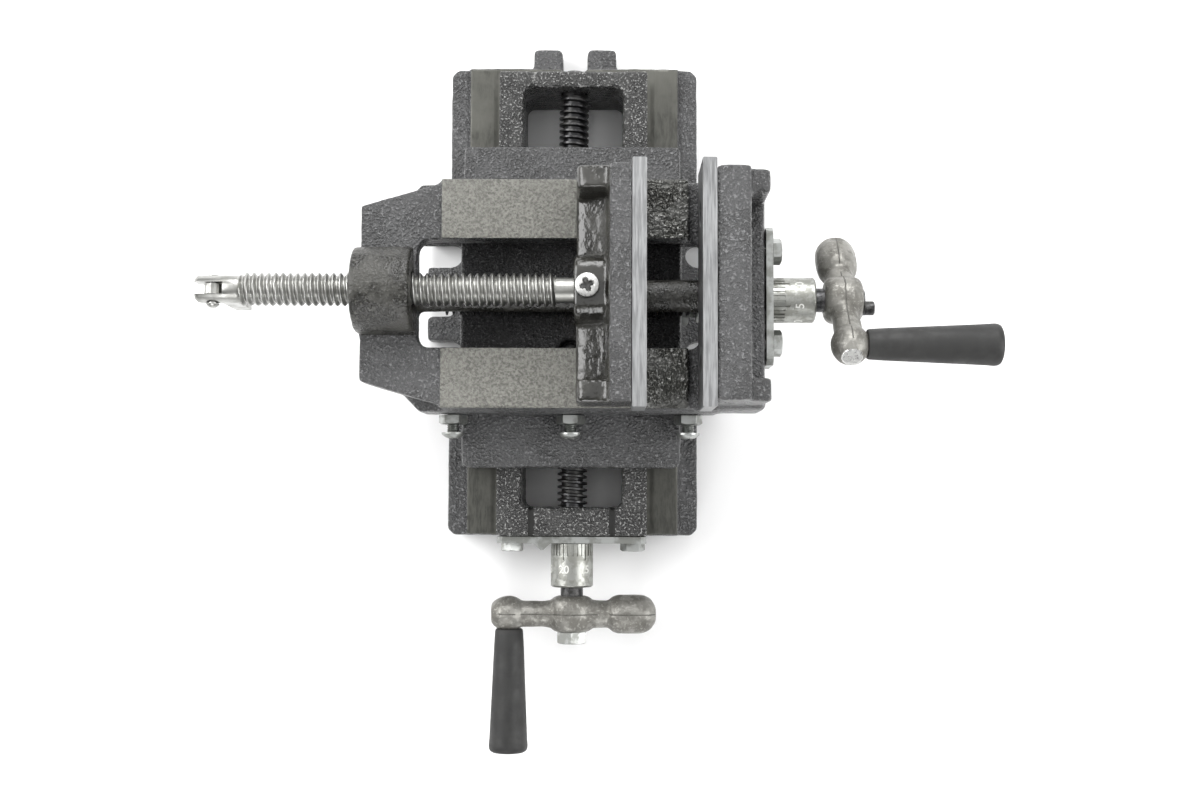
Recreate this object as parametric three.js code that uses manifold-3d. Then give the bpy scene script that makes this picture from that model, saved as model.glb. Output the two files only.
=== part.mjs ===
// Compound (cross-slide) bench vise with 100 mm jaws, as an assembly of separate pieces.
// Millimetres, +Z up. The origin is the middle of the base's underside. +Y is the back,
// the Y crank is at the front, the X crank at the right and the jaw screw at the left.
// The saddle slides along Y on the base, the vise body slides along X on the saddle, and
// the movable jaw slides along X on the body's two rails. Threads are plain rods here.

import * as THREE from 'three';
import { mergeVertices } from 'three/addons/utils/BufferGeometryUtils.js';
import Module from 'manifold-3d';

const wasm = await Module();
wasm.setup();

// ---------------------------------------------------------------- driving dimensions

const CLEARANCE = 0.3; // gap between any two pieces that touch
const DOVETAIL_ANGLE = THREE.MathUtils.degToRad(30); // flank lean from the vertical
const GIB_THICKNESS = 3;

// Base casting
const BASE_WIDTH = 117;
const BASE_LENGTH = 221.2;
const BASE_RIM_HEIGHT = 25;
const BASE_WAY_HEIGHT = 28; // machined strips that carry the saddle
const BASE_WAY_WIDTH = 100;
const BASE_DOVETAIL_WIDTH = 70.4;
const BASE_DOVETAIL_HEIGHT = 14;
const BASE_WINDOW_WIDTH = 46;
const BASE_END_WALL = 13.4;
const TIE_WEB_WIDTH = 16;
const TIE_WEB_HEIGHT = 10;
const BASE_WAY_SETBACK = 5.2; // the raised way stops this far short of the base's back
const BRIDGE_GROOVE_X = 17.4;
const BRIDGE_GROOVE_WIDTH = 2.4;
const BRIDGE_GROOVE_DEPTH = 3;

// Hold-down ears and the slots in them
const EAR_THICKNESS = 11.5;
const EAR_REACH = 12.1; // how far the side ears stand out of the base
const EAR_PRONG = 12.2;
const EAR_POCKET_DEPTH = 7; // how far the pocket above the ears is cut into the rim
const SLOT_WIDTH = 11.5;
const SLOT_SPACING = 47.4;
const BACK_LUG_LENGTH = 14.3;
const BACK_LUG_WIDTH = 14.4;

// Saddle casting
const SADDLE_WIDTH = 98.4;
const SADDLE_LENGTH = 145.8;
const SADDLE_REST_Y = -6.8;
const SADDLE_DECK = 14.7; // thickness over the base's dovetail
const CROSS_DOVETAIL_WIDTH = 62;
const CROSS_DOVETAIL_HEIGHT = 10;

// Vise body casting
const SKIRT_LEFT = -70.8;
const SKIRT_RIGHT = 70.2;
const SKIRT_WIDTH = 99.2;
const BODY_LEFT = -88.8;
const BODY_RIGHT = 83.6;
const BODY_END_WALL = 15.3;
const BODY_HEIGHT = 41.2; // from the skirt's underside to the rails
const RAIL_LEFT = -53.7;
const RAIL_RIGHT = 50.6;
const RAIL_OUTER_WIDTH = 97.4;
const RAIL_THICKNESS = 12.5;
const WING_DROP = 1.5;
const WING_END_WIDTH = 75;
const WING_ROOT_WIDTH = 95.4;
const SLOT_BETWEEN_RAILS = 45.6;
const SLOT_LEFT = -64.3;
const SLOT_RIGHT = 56;
const CAVITY_WIDTH = 68;
const SCREW_COVER_WIDTH = 14.6;
const SCREW_COVER_HEIGHT = 7;
const NUT_BOSS_RADIUS = 18;

// Jaws
const JAW_WIDTH = 100;
const JAW_HEIGHT = 35.5; // above the rails
const JAW_GAP = 22.3;
const JAW_PLATE_HEIGHT = 32.2;
const JAW_PLATE_THICKNESS = 5.8;
const JAW_PLATE_FACE = 54.3; // X of the fixed jaw's gripping face
const FIXED_JAW_THICKNESS = 13.7;
const FIXED_BLOCK_WIDTH = 94.8;
const MOVING_BLOCK_WIDTH = 96.6;
const DECK_UNDER_JAW_DROP = 3.5; // the body's right end below the rails
const MOVING_WALL_THICKNESS = 9.2;
const MOVING_FOOT_LENGTH = 23;
const MOVING_FOOT_HEIGHT = 5.5;
const JAW_RIB_WIDTH = 9.8;
const SCREW_SOCKET_WIDTH = 27;
const SCREW_SOCKET_TOP = 14; // above the jaw screw's axis
const PLATE_SCREW_SPACING = 60;
const KEEPER_THICKNESS = 6;
const KEEPER_LENGTH = 20;
const TONGUE_INNER = 10.6; // half of the gap between the jaw's two tongues

// Screws, cranks and dials
const THREAD_DIAMETER = 14;
const JOURNAL_DIAMETER = 10.4;
const Y_AXIS_Z = 27;
const X_AXIS_OVER_SADDLE = 10;
const JAW_AXIS_OVER_RAILS = 8.5;
const X_THREAD_LEFT = -56;
const BEARING_PLATE_THICKNESS = 3;
const DIAL_DIAMETER = 19.6;
const Y_DIAL_LENGTH = 20;
const X_DIAL_LENGTH = 18.9;
const DIAL_TO_HUB = 4.6;
const HUB_DIAMETER = 19.6;
const HUB_LENGTH = 15.8;
const CRANK_RADIUS = 29;
const X_CRANK_ANGLE = THREE.MathUtils.degToRad(47); // how far the handle leans to the front
const ARM_NECK_RADIUS = 5.4;
const HANDLE_BALL_RADIUS = 8;
const HANDLE_BALL_FLAT = 1.4; // ground off where the grip bears
const HANDLE_BALL_STRETCH = 1.16; // the ball is longer away from the hub
const COUNTERWEIGHT_RADIUS = 8.8;
const COUNTERWEIGHT_REACH = 39;
const GRIP_LENGTH = 56.4;
const GRIP_SMALL_DIAMETER = 12.9;
const GRIP_LARGE_DIAMETER = 18;
const SPINDLE_DIAMETER = 6;
const CRANK_STUD_DIAMETER = 5.4;
const NUT_LENGTH = 20;
const NUT_WIDTH = 19.4;
const Y_NUT_OFFSET = -22; // from the saddle's middle
const X_NUT_OFFSET = 16;

// Jaw screw and its folding lever
const FORK_LENGTH = 19.2;
const FORK_DIAMETER = 11.6;
const FORK_SLOT_WIDTH = 5;
const FORK_SLOT_DEPTH = 12.4;
const JAW_THREAD_LEFT = -135.9;
const JAW_THREAD_RIGHT = -5.2;
const JAW_NECK_DIAMETER = 10.6;
const JAW_NECK_LENGTH = 22;
const RETAINER_X = 8;
const LEVER_LENGTH = 54;
const LEVER_THICKNESS = 4.3;
const LEVER_WIDTH = 7.4;
const LEVER_EYE_RADIUS = 3.6;
const LEVER_PIVOT_FROM_TIP = 7.2;
const RIVET_DIAMETER = 4;
const RIVET_HEAD_DIAMETER = 5.6;

// Small fasteners
const BOLT_DIAMETER = 5.4;
const HEX_ACROSS_FLATS = 10;
const HEX_HEAD_HEIGHT = 3.8;
const LOCKNUT_THICKNESS = 4;
const LOCKNUT_ACROSS_FLATS = 11;
const PAN_HEAD_DIAMETER = 9.6;
const PAN_HEAD_HEIGHT = 2.8;
const GIB_SCREW_STANDOFF = 3.6; // bare thread between locknut and head
const GIB_SCREW_SPACING = 52;
const Y_PLATE_WIDTH = 68.6;
const Y_PLATE_BOLT_SPACING = 56.4;
const X_PLATE_WIDTH = 59;
const X_PLATE_BOLT_SPACING = 39.6;
const BEARING_PLATE_HEIGHT = 24.5;

// ---------------------------------------------------------------- worked-out values

const LEAN = Math.tan(DOVETAIL_ANGLE);
const ACROSS = 1 / Math.cos(DOVETAIL_ANGLE); // horizontal run of a thickness on a flank
const BASE_TOP = BASE_WAY_HEIGHT + BASE_DOVETAIL_HEIGHT;
const SADDLE_BOTTOM = BASE_WAY_HEIGHT + CLEARANCE;
const SADDLE_TOP = BASE_TOP + CLEARANCE + SADDLE_DECK;
const CROSS_TOP = SADDLE_TOP + CROSS_DOVETAIL_HEIGHT;
const BODY_BOTTOM = SADDLE_TOP + CLEARANCE;
const SLOT_CEILING = CROSS_TOP + CLEARANCE;
const RAIL_TOP = BODY_BOTTOM + BODY_HEIGHT;
const RAIL_UNDERSIDE = RAIL_TOP - RAIL_THICKNESS;
const WING_TOP = RAIL_TOP - WING_DROP;
const BODY_DECK_TOP = RAIL_TOP - DECK_UNDER_JAW_DROP;
const X_AXIS_Z = CROSS_TOP + X_AXIS_OVER_SADDLE;
const JAW_AXIS_Z = RAIL_TOP + JAW_AXIS_OVER_RAILS;
const JAW_TOP = RAIL_TOP + JAW_HEIGHT;
const PLATE_BOTTOM = JAW_TOP - JAW_PLATE_HEIGHT;
const PLATE_MIDDLE = (JAW_TOP + PLATE_BOTTOM) / 2;
const FIXED_JAW_X = JAW_PLATE_FACE + JAW_PLATE_THICKNESS + CLEARANCE;
const FIXED_JAW_BACK = FIXED_JAW_X + FIXED_JAW_THICKNESS;
const MOVING_FACE = JAW_PLATE_FACE - JAW_GAP;
const MOVING_WALL_X = MOVING_FACE - JAW_PLATE_THICKNESS - CLEARANCE;
const MOVING_WALL_BACK = MOVING_WALL_X - MOVING_WALL_THICKNESS;
const MOVING_FOOT_BACK = MOVING_WALL_X - MOVING_FOOT_LENGTH;
const KEEPER_X = MOVING_WALL_X - 1.5 - KEEPER_LENGTH / 2;
const KEEPER_TOP = RAIL_UNDERSIDE - 2 * CLEARANCE;
const TONGUE_OUTER = SLOT_BETWEEN_RAILS / 2 - CLEARANCE;
const TONGUE_MIDDLE = (TONGUE_INNER + TONGUE_OUTER) / 2;
const CAVITY_RIGHT = BODY_RIGHT - BODY_END_WALL;
const JOURNAL_BORE = JOURNAL_DIAMETER + 2 * CLEARANCE;
const THREAD_BORE = THREAD_DIAMETER + 2 * CLEARANCE;
const BOLT_BORE = BOLT_DIAMETER + 2 * CLEARANCE;
const STUD_BORE = CRANK_STUD_DIAMETER + 2 * CLEARANCE;
const SPINDLE_BORE = SPINDLE_DIAMETER + 2 * CLEARANCE;
const Y_FRONT = -BASE_LENGTH / 2;
const WINDOW_HALF_LENGTH = BASE_LENGTH / 2 - BASE_END_WALL;
const SADDLE_GIB_SCREW_Z = BASE_WAY_HEIGHT + BASE_DOVETAIL_HEIGHT / 2 + 0.5;
const BODY_GIB_SCREW_Z = SADDLE_TOP + LOCKNUT_ACROSS_FLATS / 2 + 0.8;
const Y_PLATE_Z = Y_AXIS_Z - 2;
const Y_PLATE_BOLT_Z = BASE_WAY_HEIGHT - HEX_ACROSS_FLATS / 2 - 1.5;
const X_PLATE_Z = CROSS_TOP + 1 + BEARING_PLATE_HEIGHT / 2;
const X_PLATE_BOLT_Z = X_PLATE_Z + 5.5;
const LEVER_PIVOT_X = JAW_THREAD_LEFT - FORK_LENGTH + LEVER_PIVOT_FROM_TIP;

// How many flats stand in for a circle
const ROUND = 24; // screws, dials and grips
const SMALL_ROUND = 12; // fasteners and their holes

// ---------------------------------------------------------------- finishes

const finish = (color, roughness, metalness) =>
  new THREE.MeshStandardMaterial({ color, roughness, metalness });

const castPaint = finish(0x4b4c4f, 0.5, 0.1);
const glossPaint = finish(0x3c3b37, 0.3, 0.1);
const brightSteel = finish(0xc4c6c8, 0.3, 1);
const blackOxide = finish(0x26272a, 0.45, 0.6);
const castZinc = finish(0x8f8e88, 0.5, 0.8);
const bronze = finish(0x9a7a45, 0.4, 1);
const gripPlastic = finish(0x2f3031, 0.6, 0);

// ---------------------------------------------------------------- shape helpers

// Each frame turns a shape's own X, Y and Z into the directions named.
const frameOf = (x, y, z) =>
  new THREE.Matrix4().makeBasis(new THREE.Vector3(...x), new THREE.Vector3(...y), new THREE.Vector3(...z));

const EXTRUDE = {
  x: frameOf([0, 1, 0], [0, 0, 1], [1, 0, 0]), // outline in Y and Z
  y: frameOf([1, 0, 0], [0, 0, 1], [0, -1, 0]), // outline in X and Z
  z: frameOf([1, 0, 0], [0, 1, 0], [0, 0, 1]), // outline in X and Y
};

const TURN = {
  x: frameOf([0, 1, 0], [1, 0, 0], [0, 0, -1]),
  y: frameOf([1, 0, 0], [0, 1, 0], [0, 0, 1]),
  z: frameOf([1, 0, 0], [0, 0, 1], [0, -1, 0]),
};

function signedVolume(points, triangles) {
  const [a, b, c] = [new THREE.Vector3(), new THREE.Vector3(), new THREE.Vector3()];
  let sum = 0;
  for (let i = 0; i < triangles.length; i += 3) {
    a.fromArray(points, 3 * triangles[i]);
    b.fromArray(points, 3 * triangles[i + 1]);
    c.fromArray(points, 3 * triangles[i + 2]);
    sum += a.dot(b.cross(c));
  }
  return sum;
}

// A closed three.js geometry becomes a solid that can be joined and cut.
function solid(geometry, matrix) {
  geometry.deleteAttribute('normal');
  geometry.deleteAttribute('uv');
  const merged = mergeVertices(geometry, 1e-4);
  merged.applyMatrix4(matrix);
  const points = merged.attributes.position.array;
  const triangles = [];
  for (let i = 0; i < merged.index.count; i += 3) {
    const [a, b, c] = merged.index.array.slice(i, i + 3);
    if (a !== b && b !== c && c !== a) triangles.push(a, b, c);
  }
  if (signedVolume(points, triangles) < 0) triangles.reverse();
  const mesh = new wasm.Mesh({
    numProp: 3,
    vertProperties: new Float32Array(points),
    triVerts: new Uint32Array(triangles),
  });
  return new wasm.Manifold(mesh);
}

const joined = (...pieces) => pieces.flat().reduce((whole, piece) => whole.add(piece));
const cut = (piece, ...tools) => tools.flat().reduce((left, tool) => left.subtract(tool), piece);

function box(x0, x1, y0, y1, z0, z1) {
  const geometry = new THREE.BoxGeometry(x1 - x0, y1 - y0, z1 - z0);
  const middle = new THREE.Matrix4().makeTranslation((x0 + x1) / 2, (y0 + y1) / 2, (z0 + z1) / 2);
  return solid(geometry, middle);
}

// An outline pushed along an axis, from one coordinate to another.
function prism(axis, outline, from, to) {
  const shape = outline instanceof THREE.Shape
    ? outline
    : new THREE.Shape(outline.map(([u, v]) => new THREE.Vector2(u, v)));
  const settings = { depth: to - from, bevelEnabled: false, curveSegments: 6 };
  const geometry = new THREE.ExtrudeGeometry(shape, settings);
  const start = { x: [from, 0, 0], y: [0, to, 0], z: [0, 0, from] }[axis];
  return solid(geometry, new THREE.Matrix4().makeTranslation(...start).multiply(EXTRUDE[axis]));
}

// A profile of [radius, distance along the axis] points, turned about the axis.
function turned(axis, profile, centre = [0, 0, 0], segments = ROUND) {
  const points = profile.map(([radius, along]) => new THREE.Vector2(radius, along));
  const geometry = new THREE.LatheGeometry(points, segments);
  return solid(geometry, new THREE.Matrix4().makeTranslation(...centre).multiply(TURN[axis]));
}

function rod(axis, diameter, from, to, centre = [0, 0, 0], segments = ROUND) {
  const r = diameter / 2;
  return turned(axis, [[0, from], [r, from], [r, to], [0, to]], centre, segments);
}

function chamferedRectangle(x0, x1, y0, y1, c) {
  return [
    [x0 + c, y0], [x1 - c, y0], [x1, y0 + c], [x1, y1 - c],
    [x1 - c, y1], [x0 + c, y1], [x0, y1 - c], [x0, y0 + c],
  ];
}

function roundedRectangle(x0, x1, y0, y1, r) {
  const shape = new THREE.Shape();
  shape.absarc(x1 - r, y0 + r, r, -Math.PI / 2, 0);
  shape.absarc(x1 - r, y1 - r, r, 0, Math.PI / 2);
  shape.absarc(x0 + r, y1 - r, r, Math.PI / 2, Math.PI);
  shape.absarc(x0 + r, y0 + r, r, Math.PI, 1.5 * Math.PI);
  return shape;
}

// Half width of a dovetail at a height, from its full width at the top.
const flank = (width, top, z) => width / 2 - (top - z) * LEAN;

// ---------------------------------------------------------------- fasteners, along local +Z

const hexagon = (acrossFlats) => {
  const r = acrossFlats / Math.sqrt(3);
  return Array.from({ length: 6 }, (_, i) => {
    const angle = (i * Math.PI) / 3;
    return [r * Math.cos(angle), r * Math.sin(angle)];
  });
};

// The head sits on the plane z = 0 and the shank goes down from it.
function hexBolt(acrossFlats, headHeight, shankDiameter, shankLength) {
  const bevelled = turned('z', [
    [0, 0], [acrossFlats * 0.6, 0], [acrossFlats * 0.6, headHeight * 0.75], [acrossFlats * 0.46, headHeight],
    [0, headHeight],
  ], [0, 0, 0], SMALL_ROUND);
  const head = prism('z', hexagon(acrossFlats), 0, headHeight).intersect(bevelled);
  return joined(head, rod('z', shankDiameter, -shankLength, headHeight / 2, [0, 0, 0], SMALL_ROUND));
}

function panScrew(headDiameter, headHeight, shankDiameter, shankLength) {
  const r = headDiameter / 2;
  const s = shankDiameter / 2;
  return turned('z', [
    [0, -shankLength], [s, -shankLength], [s, 0], [r, 0], [r, headHeight * 0.45],
    [r * 0.72, headHeight * 0.86], [0, headHeight],
  ], [0, 0, 0], SMALL_ROUND);
}

function locknut(acrossFlats, thickness, bore) {
  const hole = rod('z', bore, -1, thickness + 1, [0, 0, 0], SMALL_ROUND);
  return cut(prism('z', hexagon(acrossFlats), 0, thickness), hole);
}

// A countersunk head whose top is flush with z = 0.
function countersunkScrew(headDiameter, shankDiameter, length, spread = 0) {
  const r = headDiameter / 2 + spread;
  const s = shankDiameter / 2 + spread;
  return turned('z', [[0, -length - spread], [s, -length - spread], [s, -(r - s)], [r, 0], [0, 0]],
    [0, 0, 0], SMALL_ROUND);
}

// ---------------------------------------------------------------- base group

function slotCutter(x, y, towards, length) {
  const half = SLOT_WIDTH / 2;
  const end = [x + towards[0] * length, y + towards[1] * length];
  const across = [Math.abs(towards[1]) * half, Math.abs(towards[0]) * half];
  const xs = [Math.min(x, end[0]) - across[0], Math.max(x, end[0]) + across[0]];
  const ys = [Math.min(y, end[1]) - across[1], Math.max(y, end[1]) + across[1]];
  return [
    box(xs[0], xs[1], ys[0], ys[1], -1, BASE_RIM_HEIGHT + 1),
    rod('z', SLOT_WIDTH, -1, BASE_RIM_HEIGHT + 1, [x, y, 0]),
  ];
}

function sideEars(side) {
  const inner = BASE_WIDTH / 2 - EAR_POCKET_DEPTH - 2;
  const outer = BASE_WIDTH / 2 + EAR_REACH;
  const round = BASE_WIDTH / 2 + 1;
  const pads = [-1, 1].map((end) => {
    const middle = (end * SLOT_SPACING) / 2;
    const half = SLOT_WIDTH / 2 + EAR_PRONG;
    const outline = chamferedRectangle(inner, outer, middle - half, middle + half, 1.6);
    return prism('z', outline.map(([x, y]) => [side * x, side * y]), 0, EAR_THICKNESS);
  });
  const slots = [-1, 1].map((end) =>
    slotCutter(side * round, (end * SLOT_SPACING) / 2, [side, 0], EAR_REACH + 4));
  return { pads, slots: slots.flat() };
}

function backLugs() {
  const back = BASE_LENGTH / 2;
  const tip = back + BACK_LUG_LENGTH;
  const inner = SLOT_WIDTH / 2;
  const outer = inner + BACK_LUG_WIDTH;
  return [-1, 1].map((side) => {
    const outline = [
      [inner, back - 2], [outer + 6, back - 2], [outer + 6, back], [outer, back + 5],
      [outer, tip - 1.5], [outer - 1.5, tip], [inner + 1.5, tip], [inner, tip - 1.5],
    ];
    return prism('z', outline.map(([x, y]) => [side * x, y]), 0, EAR_THICKNESS);
  });
}

function makeBase() {
  const [halfX, halfY] = [BASE_WIDTH / 2, BASE_LENGTH / 2];
  const top = BASE_DOVETAIL_WIDTH / 2;
  const root = flank(BASE_DOVETAIL_WIDTH, BASE_TOP, BASE_WAY_HEIGHT);
  const left = sideEars(-1);
  const right = sideEars(1);
  const pocketY = SLOT_SPACING / 2 + SLOT_WIDTH / 2 + EAR_PRONG + 1.5;
  const earPockets = [-1, 1].map((side) => {
    const xs = [side * (halfX - EAR_POCKET_DEPTH), side * (halfX + 5)].sort((a, b) => a - b);
    return box(xs[0], xs[1], -pocketY, pocketY, EAR_THICKNESS, BASE_RIM_HEIGHT + 5);
  });
  const block = joined(
    prism('z', chamferedRectangle(-halfX, halfX, -halfY, halfY, 3), 0, BASE_RIM_HEIGHT),
    box(-BASE_WAY_WIDTH / 2, BASE_WAY_WIDTH / 2, -halfY, halfY, BASE_RIM_HEIGHT - 1, BASE_WAY_HEIGHT),
    prism('y', [
      [-root, BASE_WAY_HEIGHT - 2], [root, BASE_WAY_HEIGHT - 2], [root, BASE_WAY_HEIGHT],
      [top, BASE_TOP], [-top, BASE_TOP], [-root, BASE_WAY_HEIGHT],
    ], -halfY, halfY - BASE_WAY_SETBACK),
  );
  const half = BASE_WINDOW_WIDTH / 2;
  const well = roundedRectangle(-half, half, -WINDOW_HALF_LENGTH, WINDOW_HALF_LENGTH, 3);
  const window = prism('z', well, -1, BASE_TOP + 1);
  const hollows = [-1, 1].flatMap((side) => [-1, 1].map((end) => {
    const xs = [side * (half + 8), side * (halfX - EAR_POCKET_DEPTH - 5.5)].sort((a, b) => a - b);
    const ys = [end * (TIE_WEB_WIDTH / 2 + 4), end * (halfY - 10)].sort((a, b) => a - b);
    return box(xs[0], xs[1], ys[0], ys[1], -1, EAR_THICKNESS + 2);
  }));
  const grooves = [-1, 1].flatMap((side) => [-1, 1].map((end) => {
    const edges = [BRIDGE_GROOVE_X, BRIDGE_GROOVE_X + BRIDGE_GROOVE_WIDTH];
    const xs = edges.map((x) => side * x).sort((a, b) => a - b);
    const ys = [end * (WINDOW_HALF_LENGTH - 1), end * (halfY + 1)].sort((a, b) => a - b);
    return box(xs[0], xs[1], ys[0], ys[1], BASE_TOP - BRIDGE_GROOVE_DEPTH, BASE_TOP + 1);
  }));
  const boltHoles = [-1, 1].map((side) =>
    rod('y', BOLT_BORE, Y_FRONT - 1, Y_FRONT + 11,
      [(side * Y_PLATE_BOLT_SPACING) / 2, 0, Y_PLATE_BOLT_Z], SMALL_ROUND));
  const web = box(-half - 1, half + 1, -TIE_WEB_WIDTH / 2, TIE_WEB_WIDTH / 2, 0, TIE_WEB_HEIGHT);
  const pocketed = cut(block, window, earPockets);
  return cut(
    joined(pocketed, left.pads, right.pads, backLugs(), web),
    left.slots,
    right.slots,
    slotCutter(0, halfY + SLOT_WIDTH / 2 + 0.2, [0, 1], BACK_LUG_LENGTH),
    hollows,
    grooves,
    boltHoles,
    rod('y', JOURNAL_BORE, -halfY - 1, halfY + 1, [0, 0, Y_AXIS_Z]),
  );
}

// A bearing plate lies in local X and Y, with its back on z = 0 and the shaft hole at the origin.
function makeBearingPlate(width, axisAboveMiddle, boltSpacing, boltAboveMiddle, pointerX, atTop) {
  const low = -BEARING_PLATE_HEIGHT / 2 - axisAboveMiddle;
  const high = BEARING_PLATE_HEIGHT / 2 - axisAboveMiddle;
  const outline = chamferedRectangle(-width / 2, width / 2, low, high, 2.5);
  const plate = prism('z', outline, 0, BEARING_PLATE_THICKNESS);
  const pointer = prism('y', [
    [pointerX - 4, BEARING_PLATE_THICKNESS - 1], [pointerX + 4, BEARING_PLATE_THICKNESS - 1],
    [pointerX + 4, BEARING_PLATE_THICKNESS], [pointerX + 0.6, BEARING_PLATE_THICKNESS + 3],
    [pointerX - 0.6, BEARING_PLATE_THICKNESS + 3], [pointerX - 4, BEARING_PLATE_THICKNESS],
  ], atTop ? high - 4 : low, atTop ? high : low + 4);
  const holes = [-1, 1].map((side) =>
    rod('z', BOLT_BORE, -1, 8, [(side * boltSpacing) / 2, boltAboveMiddle - axisAboveMiddle, 0],
      SMALL_ROUND));
  return cut(joined(plate, pointer), rod('z', JOURNAL_BORE, -1, 8), holes);
}

// A feed screw along local Z: thread below zero, then the journal out to the crank end.
// Its end is tapped for the crank's bolt.
function makeLeadScrew(threadLength, tailLength, journalLength) {
  const thread = THREAD_DIAMETER / 2;
  const journal = JOURNAL_DIAMETER / 2;
  const tail = tailLength > 0
    ? [[0, -threadLength - tailLength], [journal, -threadLength - tailLength], [journal, -threadLength]]
    : [[0, -threadLength]];
  return turned('z', [
    ...tail, [thread - 1.5, -threadLength], [thread, -threadLength + 1.5], [thread, -1.5], [thread - 1.5, 0],
    [journal, 0], [journal, journalLength],
    [STUD_BORE / 2, journalLength], [STUD_BORE / 2, journalLength - 9],
    [0, journalLength - 9],
  ], [0, 0, 0]);
}

function makeDial(length) {
  const r = DIAL_DIAMETER / 2;
  return turned('z', [
    [JOURNAL_BORE / 2, 0], [r, 0], [r, length - 0.8], [r - 0.8, length], [JOURNAL_BORE / 2, length],
    [JOURNAL_BORE / 2, 0],
  ], [0, 0, 0]);
}

// The crank's hub is turned about local Z from z = 0, its arm lies along X, handle end at -X.
function makeCrankArm() {
  const middle = HUB_LENGTH / 2;
  const arc = (x, r, from, to, steps) => Array.from({ length: steps + 1 }, (_, i) => {
    const angle = THREE.MathUtils.degToRad(from + ((to - from) * i) / steps);
    const stretch = angle < QUARTER ? HANDLE_BALL_STRETCH : 1;
    return [r * Math.sin(angle), x - r * stretch * Math.cos(angle)];
  });
  const waist = THREE.MathUtils.radToDeg(Math.asin(ARM_NECK_RADIUS / HANDLE_BALL_RADIUS));
  const eggMiddle = COUNTERWEIGHT_REACH - COUNTERWEIGHT_RADIUS - 2.7;
  const arm = turned('x', [
    ...arc(-CRANK_RADIUS, HANDLE_BALL_RADIUS, 0, 180 - waist, 6),
    [ARM_NECK_RADIUS, -HUB_DIAMETER / 2 - 4], [ARM_NECK_RADIUS + 0.6, -HUB_DIAMETER / 2],
    [ARM_NECK_RADIUS + 0.6, HUB_DIAMETER / 2], [ARM_NECK_RADIUS + 0.4, eggMiddle - 10.5],
    [COUNTERWEIGHT_RADIUS - 1, eggMiddle - 8.7], [COUNTERWEIGHT_RADIUS - 0.2, eggMiddle - 6],
    [COUNTERWEIGHT_RADIUS, eggMiddle - 2.5], [COUNTERWEIGHT_RADIUS, eggMiddle + 2.5],
    [COUNTERWEIGHT_RADIUS - 0.6, eggMiddle + 6], [COUNTERWEIGHT_RADIUS - 2, eggMiddle + 8.7],
    [COUNTERWEIGHT_RADIUS - 4.8, COUNTERWEIGHT_REACH - 0.8], [0, COUNTERWEIGHT_REACH],
  ], [0, 0, middle], 16);
  const r = HUB_DIAMETER / 2;
  const hub = turned('z', [
    [0, 0], [r - 1.6, 0], [r - 0.5, middle * 0.4], [r, middle],
    [r - 0.5, middle * 1.6], [r - 1.6, HUB_LENGTH],
    [0, HUB_LENGTH],
  ], [0, 0, 0]);
  const socket = rod('z', JOURNAL_BORE, -1, HUB_LENGTH - 4);
  const stud = rod('z', STUD_BORE, 0, HUB_LENGTH + 1, [0, 0, 0], SMALL_ROUND);
  const spindle = rod('z', SPINDLE_BORE, middle - HANDLE_BALL_RADIUS - 1, middle + HANDLE_BALL_RADIUS + 1,
    [-CRANK_RADIUS, 0, 0], SMALL_ROUND);
  const flat = box(-CRANK_RADIUS - 10, -CRANK_RADIUS + 10, -10, 10,
    middle + HANDLE_BALL_RADIUS - HANDLE_BALL_FLAT, middle + 20);
  return cut(joined(arm, hub), socket, stud, spindle, flat);
}

// The grip and its spindle stand on the crank's handle ball, along local Z from z = 0.
function makeGrip() {
  const [small, large] = [GRIP_SMALL_DIAMETER / 2, GRIP_LARGE_DIAMETER / 2];
  const [bore, recess] = [SPINDLE_BORE / 2, 5.3];
  return turned('z', [
    [bore, 0], [small - 0.5, 0], [small, 0.8], [large - 0.3, GRIP_LENGTH - 6], [large, GRIP_LENGTH - 3],
    [large - 1.2, GRIP_LENGTH - 0.7], [large - 2.6, GRIP_LENGTH], [recess, GRIP_LENGTH],
    [recess, GRIP_LENGTH - 4.5], [bore, GRIP_LENGTH - 4.5], [bore, 0],
  ], [0, 0, 0]);
}

function makeSpindle(rootLength) {
  const r = SPINDLE_DIAMETER / 2;
  const head = GRIP_LENGTH - 4.5 + CLEARANCE;
  return turned('z', [
    [0, -rootLength], [r, -rootLength], [r, head], [4.8, head], [4.8, head + 2.2], [3.8, head + 3],
    [0, head + 3],
  ], [0, 0, 0], SMALL_ROUND);
}

// ---------------------------------------------------------------- saddle group

// The space for a dovetail: one flank fits closely, the other leaves room for the gib.
function dovetailSpace(width, bottom, top, gibSide) {
  const close = CLEARANCE * ACROSS;
  const loose = (GIB_THICKNESS + 2 * CLEARANCE) * ACROSS;
  const [minus, plus] = gibSide > 0 ? [close, loose] : [loose, close];
  const low = bottom - 1;
  const high = top + CLEARANCE;
  return [
    [-flank(width, top, low) - minus, low], [flank(width, top, low) + plus, low],
    [flank(width, top, high) + plus, high], [-flank(width, top, high) - minus, high],
  ];
}

function gibSection(width, bottom, top, gibSide) {
  const [low, high] = [bottom + 2 * CLEARANCE, top];
  const near = CLEARANCE * ACROSS;
  const far = (CLEARANCE + GIB_THICKNESS) * ACROSS;
  const section = [
    [flank(width, top, low) + near, low], [flank(width, top, low) + far, low],
    [flank(width, top, high) + far, high], [flank(width, top, high) + near, high],
  ];
  return section.map(([u, v]) => [gibSide * u, v]);
}

// Where a gib screw's tip stops, measured from the dovetail's centre line.
const gibScrewTip = (width, top, z) =>
  flank(width, top, z + BOLT_DIAMETER / 2) + (CLEARANCE + GIB_THICKNESS) * ACROSS + CLEARANCE;

const NUT_SCREW_Y = NUT_WIDTH / 2 + 4.4;

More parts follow.
